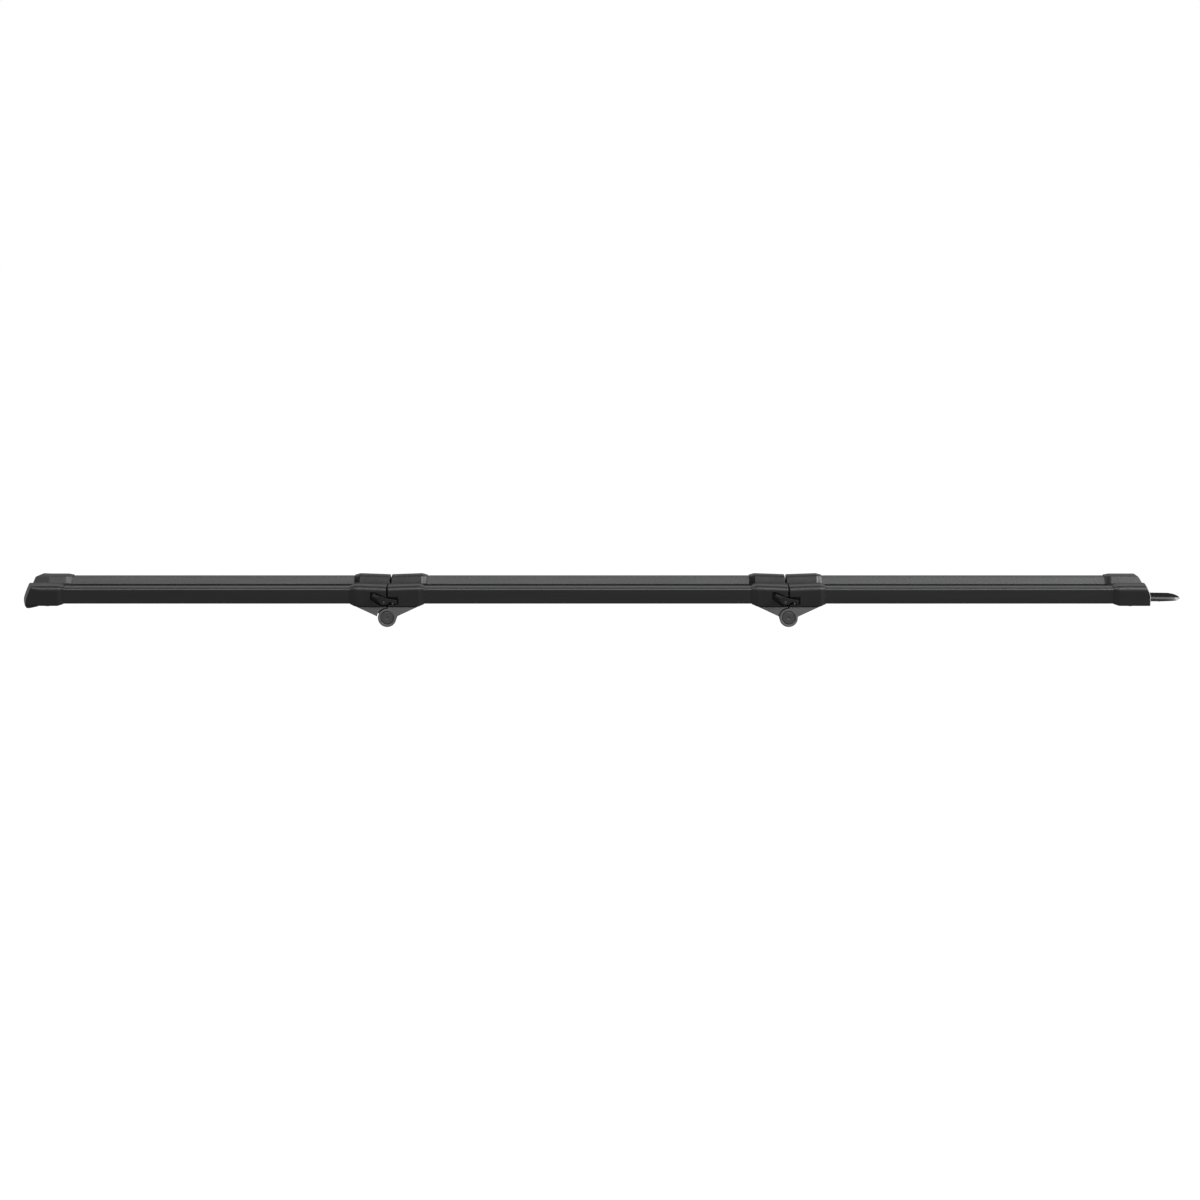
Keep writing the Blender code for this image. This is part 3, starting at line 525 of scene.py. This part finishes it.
sleeve = {"half": 0.057, "bottom": 0.027, "top": 0.053, "openHalf": 0.026, "floorHalf": 0.021, "floor": 0.045,
          "topRound": 0.0068, "bottomRound": 0.0018, "rimRound": 0.0012, "footRound": 0.0012}
lip = {"half": 0.0549, "bottom": 0.0298, "top": 0.0525, "openHalf": 0.0352, "floorHalf": 0.0292,
       "floor": 0.0435,
       "topRound": 0.0037, "bottomRound": 0.0012, "rimRound": 0.0010, "footRound": 0.0008}
socket = {key: rail[key] for key in sleeve}
socket.update(half=0.0543, bottom=0.0302, top=0.0518, openHalf=0.0357, floorHalf=0.0297, floor=0.0430)
housing = {
    "split": 0.0008, "edge": 0.0012, "block": 0.024, "long": 0.048, "mouth": 0.0075,
    "rise": math.tan(math.radians(2)),
    "slope": 0.468, "slopeStart": -0.004, "screwU": 0.017, "screwY": (-0.042, 0.0, 0.042),
    "pocketBack": -0.0505, "springBack": -0.0455, "keeper": (0.0075, 0.0310), "keeperR": 0.0014,
    "pivotEnd": -0.0417, "keeperEnd": -0.0437, "socketEnd": 0.06, "screwHole": (0.0022, 0.025, 0.0365),
    "coreFloor": 0.031, "coreDepth": 0.0125, "coreRound": 0.001,
    # each core runs from y to y, up to z
    "cores": ((-0.0405, -0.0362, 0.0480), (-0.0346, -0.0295, 0.0480), (-0.0255, -0.0142, 0.0412),
              (-0.0128, -0.0015, 0.0412), (0.0015, 0.0128, 0.0412), (0.0142, 0.0255, 0.0412),
              (0.0295, 0.0400, 0.0480), (0.0416, 0.0520, 0.0470)),
    "pocket": ((0.0010, 0.0282, 0), (0.0010, 0.0390, 0), (-0.0005, 0.0392, 0.0004), (-0.0172, 0.0464, 0.0010),
               (-0.0218, 0.0464, 0.0016), (-0.0218, 0.0372, 0.0016), (-0.0140, 0.0308, 0.0015),
               (-0.0095, 0.0282, 0.0010)),
    "notch": ((-0.0010, 0.0293, 0), (0.0150, 0.0293, 0.0008), (0.0150, 0.0402, 0.0012), (-0.0010, 0.0402, 0)),
}


def makeHousing(side, way):
    h, x0 = housing, hingeX[side]

    def at(u):
        slope = axisZ + h["slopeStart"] + h["slope"] * u
        return {**sleeve, "top": sleeve["top"] + h["rise"] * u, "bottom": max(sleeve["bottom"], slope)}

    start = h["split"] + h["edge"]
    sections = [(x0 + way * (x - x0), outline) for x,
                outline in roundedEnd(at(h["split"]), x0 + h["split"], 1, h["edge"])]
    foot = (sleeve["bottom"] - axisZ - h["slopeStart"]) / h["slope"]
    for u in (0.02, foot):
        sections.append((x0 + way * u, channel(at(u))))
    shoulder = h["long"] - h["mouth"]
    sections += mouth(at(shoulder), lip, x0 + way * shoulder, x0 + way * h["long"])
    bm = loft(sections)
    hollow = loft([(x0 + way * h["block"], channel(socket)), (x0 + way * h["socketEnd"], channel(socket))])
    # coring behind the split face, with ribs left standing between its pockets
    cores = []
    for y0, y1, z1 in h["cores"]:
        z0 = h["coreFloor"]
        outline = filleted([(y + midY, z, h["coreRound"]) for y, z in ((y0, z0), (y1, z0), (y1, z1),
                                                                       (y0, z1))], 3)
        ends = sorted((x0 - way * 0.001, x0 + way * h["coreDepth"]))
        cores.append(prism(outline, "X", *ends))
    screws = [rod((x0 + way * h["screwU"], y + midY), *h["screwHole"], "Z", 32) for y in h["screwY"]]
    cuts = [hollow, gathered(cores), gathered(screws)]
    back, spring = h["pocketBack"] + midY, h["springBack"] + midY
    pivot = (x0 + latchU, latchZ)
    if way < 0:
        cuts.append(prism(filleted([(x0 + u, z, r) for u, z, r in h["pocket"]]), "Y", -0.060 + midY, back))
        cuts.append(rod(pivot, 0.0048, back - 0.001, spring))
        cuts.append(rod(pivot, 0.0018, spring - 0.001, h["pivotEnd"] + midY, sides=32))
    else:
        cuts.append(prism(filleted([(x0 + u, z, r) for u, z, r in h["notch"]]), "Y", -0.060 + midY, back))
        keeper = (x0 + h["keeper"][0], h["keeper"][1])
        cuts.append(rod(keeper, h["keeperR"] + 0.0003, back - 0.001, h["keeperEnd"] + midY, sides=32))
    return carve(bm, *cuts)


bracket = {"half": 0.0555, "barrel": 0.012, "sweep": 0.0135, "knuckles": (0.0125, 0.0305), "room": 0.0002,
           "edge": 0.0007,
           "pin": 0.005, "head": 0.0085, "seat": 0.0527, "bush": 0.0066, "clear": 0.0003}


def makeBracket(side, way):
    b, h, x0 = bracket, housing, hingeX[side]
    top = sleeve["bottom"] - b["clear"] - axisZ
    s, s0, r = h["slope"], h["slopeStart"], b["barrel"]
    meet = (-s * s0 + math.sqrt((s * s0) ** 2 - (1 + s * s) * (s0 ** 2 - r * r))) / (1 + s * s)
    first = math.asin((s0 + s * meet) / r)
    final = math.acos(h["split"] / r) - 2 * math.pi
    outline = [(h["split"], top), ((top - s0) / s, top)]
    # the barrel, from the slope round to the split
    for step in range(73):
        turn = first + (final - first) * step / 72
        outline.append((r * math.cos(turn), r * math.sin(turn)))
    bm = prism([(x0 + way * u, axisZ + v) for u, v in outline], "Y", -b["half"] + midY, b["half"] + midY)
    bmesh.ops.recalc_face_normals(bm, faces=bm.faces)
    rims = [e for e in bm.edges if all(abs(abs(v.co.y - midY) - b["half"]) < 1e-6 for v in e.verts)]
    bmesh.ops.bevel(bm, geom=rims, offset=b["edge"], segments=3, profile=0.5, affect="EDGES",
                    clamp_overlap=False)
    inner, outer, room = *b["knuckles"], b["room"]
    if way > 0:
        gaps = [(-outer - room, -inner + room), (inner - room, outer + room)]
        seat, bore = b["head"] + b["clear"], b["pin"] + b["clear"]
        hole = ((0, -0.07), (seat + 0.0006, -0.07), (seat + 0.0006, -b["half"]), (seat, -b["half"] + 0.0006),
                (seat, -b["seat"]),
                (bore, -b["seat"]), (bore, b["seat"]), (seat, b["seat"]), (seat, b["half"] - 0.0006),
                (seat + 0.0006, b["half"]), (seat + 0.0006, 0.07), (0, 0.07))
    else:
        gaps = [(-0.060, -outer + room), (-inner - room, inner + room), (outer - room, 0.060)]
        bore = b["bush"] + b["clear"]
        hole = ((0, -0.07), (bore, -0.07), (bore, 0.07), (0, 0.07))
    axis = (x0, axisZ)
    sweeps = [rod(axis, b["sweep"], low + midY, high + midY, sides=96) for low, high in gaps]
    hole = turned([(radius, y + midY) for radius, y in hole], axis, sides=72)
    x = x0 + way * h["screwU"]
    seats = [rod((x, y + midY), 0.0038, 0.005, axisZ + 0.0113, "Z", 48) for y in h["screwY"]]
    bores = [rod((x, y + midY), 0.0022, 0.015, 0.030, "Z", 32) for y in h["screwY"]]
    return carve(bm, gathered(sweeps), hole, gathered(seats), gathered(bores))


def makePin(side):
    b = bracket
    face, head = -b["half"] + 0.0005, b["head"]
    bends = [math.pi / 2 * step / 5 for step in range(6)]
    profile = [(0, face + 0.0006), (0.0012, face + 0.0006), (0.0018, face), (head - 0.0012, face)]
    profile += [(head - 0.0012 * (1 - math.sin(t)), face + 0.0012 * (1 - math.cos(t))) for t in bends[1:]]
    profile += [(head, -b["seat"] - 0.0003), (b["pin"], -b["seat"] - 0.0003), (b["pin"], 0.0518),
                (b["pin"] - 0.0006, 0.0524),
                (0, 0.0524)]
    return turned([(radius, y + midY) for radius, y in profile], (hingeX[side], axisZ), sides=72)


def makePinCap(side):
    head = bracket["head"]
    profile = ((0, 0.0530), (head, 0.0530), (head, 0.0543), (head - 0.0003, 0.0549), (head - 0.0009, 0.0552),
               (head - 0.0025, 0.0553), (head - 0.0028, 0.0549), (0, 0.0549))
    return turned([(radius, y + midY) for radius, y in profile], (hingeX[side], axisZ), sides=72)


def makeBush(side, way):
    b = bracket
    inner, outer = b["knuckles"][0] + 0.0004, b["knuckles"][1] - 0.0004
    low, high = sorted((way * inner + midY, way * outer + midY))
    ring = turned(((0, low), (b["bush"] - 0.0003, low), (b["bush"], low + 0.0003), (b["bush"], high - 0.0003),
                   (b["bush"] - 0.0003, high), (0, high)), (hingeX[side], axisZ), sides=48)
    return carve(ring, rod((hingeX[side], axisZ), b["pin"] + b["clear"], low - 0.001, high + 0.001, sides=48))


latch = {
    "front": -0.0567, "back": -0.0510, "pivotR": 0.0015, "reach": -0.0690, "edge": 0.0003,
    "lever": ((-0.0176, 0.0450, 0.0006), (-0.0005, 0.0378, 0.0020), (0.0118, 0.0357, 0.0006),
              (0.0130, 0.0346, 0.0006),
              (0.0130, 0.0310, 0.0004), (0.0124, 0.0304, 0.0003), (0.0099, 0.0304, 0.0004),
              (0.0097, 0.0331, 0.0006),
              (0.0030, 0.0331, 0.0010), (-0.0005, 0.0294, 0.0015), (-0.0070, 0.0294, 0.0020),
              (-0.0120, 0.0345, 0.0015),
              (-0.0188, 0.0422, 0.0006)),
    "tab": ((-0.0174, 0.0447, 0.0006), (-0.0095, 0.0414, 0.0006), (-0.0105, 0.0390, 0.0006),
            (-0.0185, 0.0422, 0.0006)),
}


def makeLever(side):
    s, x0 = latch, hingeX[side]

    def plate(corners, low, high):
        bm = prism(filleted([(x0 + u, z, r) for u, z, r in corners], 4), "Y", low + midY, high + midY)
        bmesh.ops.recalc_face_normals(bm, faces=bm.faces)
        rims = [e for e in bm.edges if len({f.normal.y > 0.9 or f.normal.y < -0.9
                                            for f in e.link_faces}) == 2]
        bmesh.ops.bevel(bm, geom=rims, offset=s["edge"], segments=2, profile=0.5, affect="EDGES",
                        clamp_overlap=False)
        return bm

    whole = carve(plate(s["lever"], s["front"], s["back"]), plate(s["tab"], s["reach"], s["front"] + 0.002),
                  operation="UNION")
    grooves = []
    for step in range(4):                # finger grooves across the tab
        t = 0.2 + 0.2 * step
        x, z = x0 - 0.0174 + 0.0079 * t, 0.0447 - 0.0033 * t + 0.0003
        grooves.append(rod((x, z), 0.00045, s["reach"] - 0.001 + midY, s["front"] - 0.0004 + midY, sides=12))
    hole = rod((x0 + latchU, latchZ), s["pivotR"] + 0.0003, -0.060 + midY, -0.045 + midY, sides=32)
    return carve(whole, gathered(grooves), hole)


def coilTree():
    # one close coil of round wire on each seed point
    sizes = {"Turns": 2.5, "Radius": 0.0033, "Wire": 0.0005, "Height": 0.004}
    tree, given = newTree("latch_coil", sizes)
    line = addNode(tree, "GeometryNodeCurveSpiral", {"Resolution": 36, "Rotations": given["Turns"],
                                                     "Start Radius": given["Radius"],
                                                     "End Radius": given["Radius"],
                                                     "Height": given["Height"]}).outputs[0]
    ring = addNode(tree, "GeometryNodeCurvePrimitiveCircle", {"Resolution": 10,
                                                              "Radius": given["Wire"]}).outputs[0]
    wire = addNode(tree, "GeometryNodeCurveToMesh", {"Curve": line, "Profile Curve": ring,
                                                     "Fill Caps": True}).outputs[0]
    coils = addNode(tree, "GeometryNodeInstanceOnPoints", {"Points": given["Geometry"],
                                                           "Instance": moved(tree, wire, turn=(-90, 0, 0))})
    closeTree(tree, coils.outputs[0], given["Material"])
    return tree


def screwTree():
    # a cheese-head screw with a hexagon recess, head down, on each seed point
    sizes = {"Head Radius": 0.0035, "Head Height": 0.0025, "Rim": 0.0005, "Shank Radius": 0.0019,
             "Shank Length": 0.02,
             "Key Radius": 0.0018, "Key Depth": 0.0014}
    tree, given = newTree("socket_screw", sizes)

    def barrel(kind, depth, rise, **radii):
        key = {label.replace("_", " "): value for label, value in radii.items()}
        made = addNode(tree, kind, {"Vertices": 40, **key, "Depth": depth}).outputs[0]
        return moved(tree, made, upBy(tree, rise)) if rise is not None else made

    half = addNode(tree, "ShaderNodeMath", {0: given["Head Height"], 1: given["Rim"]},
                   operation="SUBTRACT").outputs[0]
    middle = addNode(tree, "ShaderNodeMath", {0: half, 1: 0.5, 2: given["Rim"]},
                     operation="MULTIPLY_ADD").outputs[0]
    lower = addNode(tree, "ShaderNodeMath", {0: given["Head Radius"], 1: given["Rim"]},
                    operation="SUBTRACT").outputs[0]
    head = barrel("GeometryNodeMeshCylinder", half, middle, Radius=given["Head Radius"])
    chamfer = barrel("GeometryNodeMeshCone", given["Rim"], None, Radius_Top=given["Head Radius"],
                     Radius_Bottom=lower)
    reach = addNode(tree, "ShaderNodeMath", {0: given["Shank Length"], 1: 0.5, 2: given["Rim"]},
                    operation="MULTIPLY_ADD").outputs[0]
    shank = barrel("GeometryNodeMeshCylinder", given["Shank Length"], reach, Radius=given["Shank Radius"])
    solid = addNode(tree, "GeometryNodeMeshBoolean", operation="UNION", solver="EXACT")
    for shell in (head, chamfer, shank):
        tree.links.new(shell, solid.inputs["Mesh 2"])
    key = addNode(tree, "GeometryNodeMeshCylinder", {"Vertices": 6, "Radius": given["Key Radius"],
                                                     "Depth": 0.004}).outputs[0]
    sink = addNode(tree, "ShaderNodeMath", {0: given["Key Depth"], 1: 0.002}, operation="SUBTRACT").outputs[0]
    key = moved(tree, key, upBy(tree, sink))
    cut = addNode(tree, "GeometryNodeMeshBoolean", {"Mesh 1": solid.outputs[0]}, operation="DIFFERENCE",
                  solver="EXACT")
    tree.links.new(key, cut.inputs["Mesh 2"])
    placed = addNode(tree, "GeometryNodeInstanceOnPoints", {"Points": given["Geometry"],
                                                            "Instance": cut.outputs[0]})
    closeTree(tree, placed.outputs[0], given["Material"])
    return tree


def seeds(points):
    bm = bmesh.new()
    for point in points:
        bm.verts.new(point)
    return bm


coilNodes, screwNodes = coilTree(), screwTree()
bracketScrew = {"Head Radius": 0.0035, "Head Height": 0.0025, "Rim": 0.0005, "Shank Radius": 0.0019,
                "Shank Length": 0.0150,
                "Key Radius": 0.0019, "Key Depth": 0.0014}
bodies = {"left": ("left_section", "middle_section"), "right": ("middle_section", "right_section")}
for side, halves in bodies.items():
    for half, way, body in (("left", -1, halves[0]), ("right", 1, halves[1])):
        node = f"{side}_joint_{half}_"
        fit(f"{side}_joint_{half}_moulding", makeHousing(side, way), finishes["housing"], body,
            "black_moulding", node + "housing")
        fit(f"{side}_joint_{half}_casting", makeBracket(side, way), finishes["cast"], body, "black_casting",
            node + "bracket")
        names = [f"{node}bracket_screw_{n}" for n in (1, 2, 3)]
        spots = [sum(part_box(n), Vector()) / 2 for n in names]
        points = [(spot.x, spot.y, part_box(n)[0].z) for spot, n in zip(spots, names)]
        mesh = grow(seeds(points), screwNodes, bracketScrew, finishes["steel"])
        fit(f"{side}_joint_{half}_screws", mesh, finishes["steel"], body, "dark_steel", *names)
    fit(side + "_pin", makePin(side), finishes["steel"], halves[1], "dark_steel", side + "_hinge_pin")
    fit(side + "_pin_end_cap", makePinCap(side), finishes["moulded"], halves[1], "black_moulding",
        side + "_hinge_pin_cap")
    for where, way in (("near", -1), ("far", 1)):
        fit(f"{side}_bush_{where}", makeBush(side, way), finishes["nylon"], halves[0], "nylon",
            f"{side}_hinge_bush_{where}")
    fit(side + "_lever", makeLever(side), finishes["moulded"], side + "_latch", "black_casting",
        side + "_latch_lever")
    pivot = (hingeX[side] + latchU, latchZ)
    keeper = (hingeX[side] + housing["keeper"][0], housing["keeper"][1])
    fit(side + "_pivot", roundRod(pivot, latch["pivotR"], latch["front"] + midY, -0.0420 + midY, 0.0003),
        finishes["steel"],
        halves[0], "dark_steel", side + "_latch_pivot")
    fit(side + "_keeper", roundRod(keeper, housing["keeperR"], -0.0565 + midY, -0.0440 + midY, 0.0003),
        finishes["steel"],
        halves[1], "dark_steel", side + "_latch_keeper")
    low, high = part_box(side + "_latch_spring")
    coil = {"Turns": 3.5, "Radius": 0.0033, "Wire": 0.0005, "Height": high.y - low.y - 0.001}
    mesh = grow(seeds([(pivot[0], low.y + 0.0005, pivot[1])]), coilNodes, coil, finishes["spring"])
    fit(side + "_spring", mesh, finishes["spring"], halves[0], "spring_steel", side + "_latch_spring")
print("joints made")


capFull = {**sleeve, "bottom": 0.0279, "top": 0.0539, "topRound": 0.0068}
nose = {"sideX": -0.7493, "bulge": 0.009, "lean": 0.008, "innerX": -0.7012, "socketX": -0.7270,
        "tipFloor": 0.034,
        "edge": 0.0009, "screwX": -0.7225, "screwY": 0.045, "padHalf": 0.056, "padBottom": 0.0251}
endCap = {"sideX": 0.7128, "bulge": 0.003, "lean": 0.0065, "innerX": 0.6654, "socketX": 0.7003,
          "edge": 0.0015,
          "screwX": 0.6875, "screwY": 0.045, "mouth": 0.0075,
          "slot": ((-0.0203, 0.0250, 0), (0.0203, 0.0250, 0), (0.0203, 0.0341, 0.0006),
                   (-0.0203, 0.0341, 0.0006)),
          "riser": ((-0.0204, 0.0320, 0), (0.0204, 0.0320, 0), (0.0204, 0.0391, 0.0006),
                    (-0.0204, 0.0391, 0.0006)),
          "slotEnds": (0.6995, 0.7300), "riserEnds": (0.6994, 0.7069)}
capHole = (0.0022, 0.025, 0.034)     # radius, and the heights it runs between


def bow(cap, y):
    return cap["bulge"] * (1 - (y / sleeve["half"]) ** 2)


def makeNose():
    n = nose

    def face(y, z):
        return n["sideX"] + n["lean"] * max(0.0, (z - 0.033) / 0.021) ** 1.3 - bow(n, y)

    tip = {**capFull, "floor": n["tipFloor"], "topRound": 0.0040}
    sections = mouth(capFull, lip, n["innerX"] - 0.0075, n["innerX"])[::-1]
    sections += [(n["socketX"] - 0.002 - 0.001 * k,
                  channel({**capFull, "floor": capFull["floor"] - 0.0002 * k * k * 0.4}))
                 for k in range(3)]
    sections += roundedEnd(tip, face, 1, n["edge"])[::-1]
    bm = loft(sections, rows=8)
    hollow = loft([(n["socketX"], channel(socket)), (n["innerX"] + 0.01, channel(socket))])
    holes = [rod((n["screwX"], y + midY), *capHole, "Z", 32) for y in (-n["screwY"], n["screwY"])]
    return carve(bm, hollow, gathered(holes))


def makeNosePad():
    n = nose
    top = capFull["bottom"] - 0.0003
    corners = [(0.0006, top, 0), (0.0006, 0.0264, 0.0006), (0.0013, 0.0254, 0.0004),
               (0.0024, n["padBottom"], 0.0006),
               (0.0055, n["padBottom"], 0.0010), (0.0165, top, 0)]
    outline = filleted(corners, 4)
    bm = bmesh.new()
    rows = []
    for step in range(-24, 25):
        y = n["padHalf"] * step / 24
        rows.append([bm.verts.new((n["sideX"] + x - bow(n, y), y + midY, z)) for x, z in outline])
    for near, far in zip(rows, rows[1:]):
        for i in range(len(outline)):
            bm.faces.new((near[i - 1], far[i - 1], far[i], near[i]))
    bm.faces.new(rows[0])
    bm.faces.new(rows[-1])
    ribs = []                            # drainage grooves under the pad
    for step in range(-9, 10):
        y = 0.006 * step
        x = n["sideX"] - bow(n, y)
        ribs.append(prism([(y - 0.0004 + midY, 0.0245), (y + 0.0004 + midY, 0.0245),
                           (y + 0.0004 + midY, 0.0256),
                           (y - 0.0004 + midY, 0.0256)], "X", x - 0.002, x + 0.012))
    return carve(bm, gathered(ribs))


def makeEndCap():
    e = endCap

    def face(y, z):
        return e["sideX"] - e["lean"] * max(0.0, (z - 0.040) / 0.014) ** 1.5 + bow(e, y)

    sections = mouth(capFull, lip, e["innerX"] + e["mouth"], e["innerX"])[::-1]
    sections.append((e["socketX"] + 0.002, channel(capFull)))
    sections += roundedEnd(capFull, face, -1, e["edge"])[::-1]
    bm = loft(sections, rows=8)
    hollow = loft([(e["innerX"] - 0.01, channel(socket)), (e["socketX"], channel(socket))])
    cuts = [prism(filleted([(y + midY, z, r) for y, z, r in e[cut]], 3), "X", *e[cut + "Ends"])
            for cut in ("slot", "riser")]
    holes = [rod((e["screwX"], y + midY), *capHole, "Z", 32) for y in (-e["screwY"], e["screwY"])]
    return carve(bm, hollow, *cuts, gathered(holes))


tongue = {"root": 0.6520, "step": 0.7008, "riser": 0.7066, "tip": 0.7583, "half": 0.0200, "round": 0.0135,
          "top": 0.0338,
          "under": 0.0280, "shelf": (0.0334, 0.0388), "rivetX": 0.6595, "rivetY": 0.012,
          "rivetHole": (0.0022, 0.030, 0.045), "places": (0.7008, 0.7066, 0.7120, 0.7200, 0.7280, 0.7350,
                                                          0.7400)}


def makeTongue():
    t = tongue
    bm = bmesh.new()
    loops = []
    rounding = [t["tip"] - t["round"] * (1 - math.sin(math.pi / 2 * k / 14)) for k in range(15)]
    for x in (*t["places"], *rounding):
        run = max(0.0, (x - t["riser"]) / (t["tip"] - t["riser"]))
        turn = max(0.0, x - (t["tip"] - t["round"]))
        half = t["half"] - t["round"] + math.sqrt(max(t["round"] ** 2 - turn ** 2, 0.0))
        top = t["top"] - 0.0005 * run - 0.0021 * max(0.0, (run - 0.70) / 0.30) ** 2
        under = t["under"] + 0.0010 * max(0.0,
                                          (run - 0.55) / 0.45) + 0.0014 * max(0.0, (run - 0.90) / 0.10) ** 2
        bevelIn, bevelDown = 0.0018 + 0.0012 * run, 0.0017 + 0.0011 * run
        side = max(top - bevelDown, under + 0.0004)
        soft = min(0.0005, (side - under) * 0.4)
        corners = [(half, under, soft), (half, side, 0.0003), (half - bevelIn, top, 0.0006)]
        corners += [(-y, z, r) for y, z, r in reversed(corners)]
        loops.append([bm.verts.new((x, y + midY, z)) for y, z in filleted(corners, 3)])
    for one, two in zip(loops, loops[1:]):
        for i in range(len(one)):
            bm.faces.new((one[i - 1], two[i - 1], two[i], one[i]))
    bm.faces.new(loops[0])
    bm.faces.new(loops[-1])
    low, high = t["shelf"]
    inner = [(t["root"], low, 0.0004), (t["step"] + 0.0002, low, 0), (t["step"] + 0.0002,
                                                                      t["under"] + 0.0004, 0),
             (t["riser"], t["under"] + 0.0004, 0), (t["riser"], high, 0.0015), (t["root"], high, 0.0004)]
    shank = prism(filleted(inner, 4), "Y", -t["half"] + 0.0001 + midY, t["half"] - 0.0001 + midY)
    whole = carve(bm, shank, operation="UNION")
    holes = [rod((t["rivetX"], y + midY), *t["rivetHole"], "Z", 32) for y in (-t["rivetY"], t["rivetY"])]
    return carve(whole, gathered(holes))


def domed(x, y, low, seat, tip, headR, shankR):
    # a pan-headed rivet or button pressed in from below
    bends = [math.pi / 2 * step / 6 for step in range(7)]
    profile = [(headR * math.sin(t), seat - (seat - low) * math.cos(t) ** 0.8) for t in bends]
    profile = [(r if r > 1e-9 else 0, z) for r, z in profile]
    if shankR:
        profile += [(shankR, seat), (shankR, tip)]
    return turned(profile + [(0, tip if shankR else seat)], (x, y), "Z", 40)


capScrew = {"Head Radius": 0.0036, "Head Height": 0.0012, "Rim": 0.0004, "Shank Radius": 0.0019,
            "Shank Length": 0.0066,
            "Key Radius": 0.0016, "Key Depth": 0.0008}
fit("nose_moulding", makeNose(), finishes["moulded"], "left_section", "black_moulding", "nose_cap")
fit("nose_pad", makeNosePad(), finishes["rubber"], "left_section", "rubber", "nose_ground_pad")
fit("end_moulding", makeEndCap(), finishes["moulded"], "right_section", "black_moulding", "end_cap")
fit("tongue_plate", makeTongue(), finishes["coated"], "right_section", "coated_steel", "hook_tongue")
for cap, body in (("nose", "left_section"), ("end", "right_section")):
    names = [f"{cap}_cap_screw_{where}" for where in ("near", "far")]
    boxes = [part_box(name) for name in names]
    points = [((low.x + high.x) / 2, (low.y + high.y) / 2, low.z) for low, high in boxes]
    mesh = grow(seeds(points), screwNodes, capScrew, finishes["steel"])
    fit(cap + "_screws", mesh, finishes["steel"], body, "dark_steel", *names)
for where in ("near", "far"):
    for node, look, slot in (("tongue_rivet_", "steel", "dark_steel"), ("tongue_button_", "rubber",
                                                                        "rubber")):
        low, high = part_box(node + where)
        x, y, radius = (low.x + high.x) / 2, (low.y + high.y) / 2, (high.x - low.x) / 2
        if look == "steel":
            bm = domed(x, y, low.z, rail["bottom"] - 0.0003, high.z, radius, 0.0019)
        else:
            bm = domed(x, y, low.z, high.z, high.z, radius, 0)
        fit(node[:-1] + "_finished_" + where, bm, finishes[look], "right_section", slot, node + where)
print("nose, end cap and tongue made")


def makeFloor():
    bm = bmesh.new()
    bmesh.ops.create_grid(bm, x_segments=1, y_segments=1, size=14)
    mesh = bpy.data.meshes.new("floor")
    bm.to_mesh(mesh)
    bm.free()
    floor = bpy.data.objects.new("studio_floor", mesh)
    bpy.context.scene.collection.objects.link(floor)
    floor.location.z = -0.55             # well below, so that folded sections stay in sight
    look = bpy.data.materials.new("floor_white")
    look.use_nodes = True
    shader = look.node_tree.nodes["Principled BSDF"]
    shader.inputs["Base Color"].default_value = (0.05, 0.05, 0.05, 1)
    shader.inputs["Roughness"].default_value = 0.9
    shader.inputs["Specular IOR Level"].default_value = 0.0
    shader.inputs["Emission Color"].default_value = (1, 1, 1, 1)
    shader.inputs["Emission Strength"].default_value = 1.0
    mesh.materials.append(look)
    floor.visible_glossy = floor.visible_diffuse = False


def makePanel(name, azimuth, elevation, away, width, height, glow):
    # a softbox turned to the ramp; glow is its brightness beside the white background's
    data = bpy.data.lights.new(name, "AREA")
    data.shape, data.size, data.size_y = "RECTANGLE", width, height
    data.energy = glow * math.pi * width * height
    lamp = bpy.data.objects.new(name, data)
    bpy.context.scene.collection.objects.link(lamp)
    a, e = math.radians(azimuth), math.radians(elevation)
    way = Vector((math.sin(a) * math.cos(e), -math.cos(a) * math.cos(e), math.sin(e)))
    lamp.location = way * away + Vector((0, midY, 0.04))
    lamp.rotation_euler = way.to_track_quat("Z", "Y").to_euler()
    lamp.visible_camera = False
    return lamp


makeFloor()
panels = [
    ("front_softbox", 0, 56, 2.6, 3.4, 0.80, 12.0),
    ("right_key", 58, 42, 2.6, 0.7, 0.7, 30.0),
    ("right_strip", 95, 8, 2.4, 1.0, 1.6, 34.0),
]
for panel in panels:
    makePanel(*panel)

world = bpy.data.worlds.new("white_studio")
world.use_nodes = True
backdrop = world.node_tree.nodes["Background"]
backdrop.inputs["Color"].default_value = (1, 1, 1, 1)
# the paper behind is white to the camera, and gives the ramp half that light
seen = addNode(world.node_tree, "ShaderNodeLightPath").outputs["Is Camera Ray"]
white = addNode(world.node_tree, "ShaderNodeMapRange", {"Value": seen, 3: 0.5, 4: 1.0})
world.node_tree.links.new(white.outputs[0], backdrop.inputs["Strength"])
bpy.context.scene.world = world
bpy.context.scene.view_settings.view_transform = "Standard"

shot = {"elevation": 9.5, "away": 4.588, "lens": 3529 / 1200 * 36, "at": (-0.0028, midY - 0.054, 0.0356)}
camera = bpy.data.objects.new("camera", bpy.data.cameras.new("camera"))
bpy.context.scene.collection.objects.link(camera)
camera.data.lens, camera.data.sensor_width = shot["lens"], 36
camera.data.clip_start, camera.data.clip_end = 0.05, 100
tilt = math.radians(shot["elevation"])
camera.location = Vector(shot["at"]) + shot["away"] * Vector((0, -math.cos(tilt), math.sin(tilt)))
camera.rotation_euler = (math.pi / 2 - tilt, 0, 0)
bpy.context.scene.camera = camera
print("stage set")
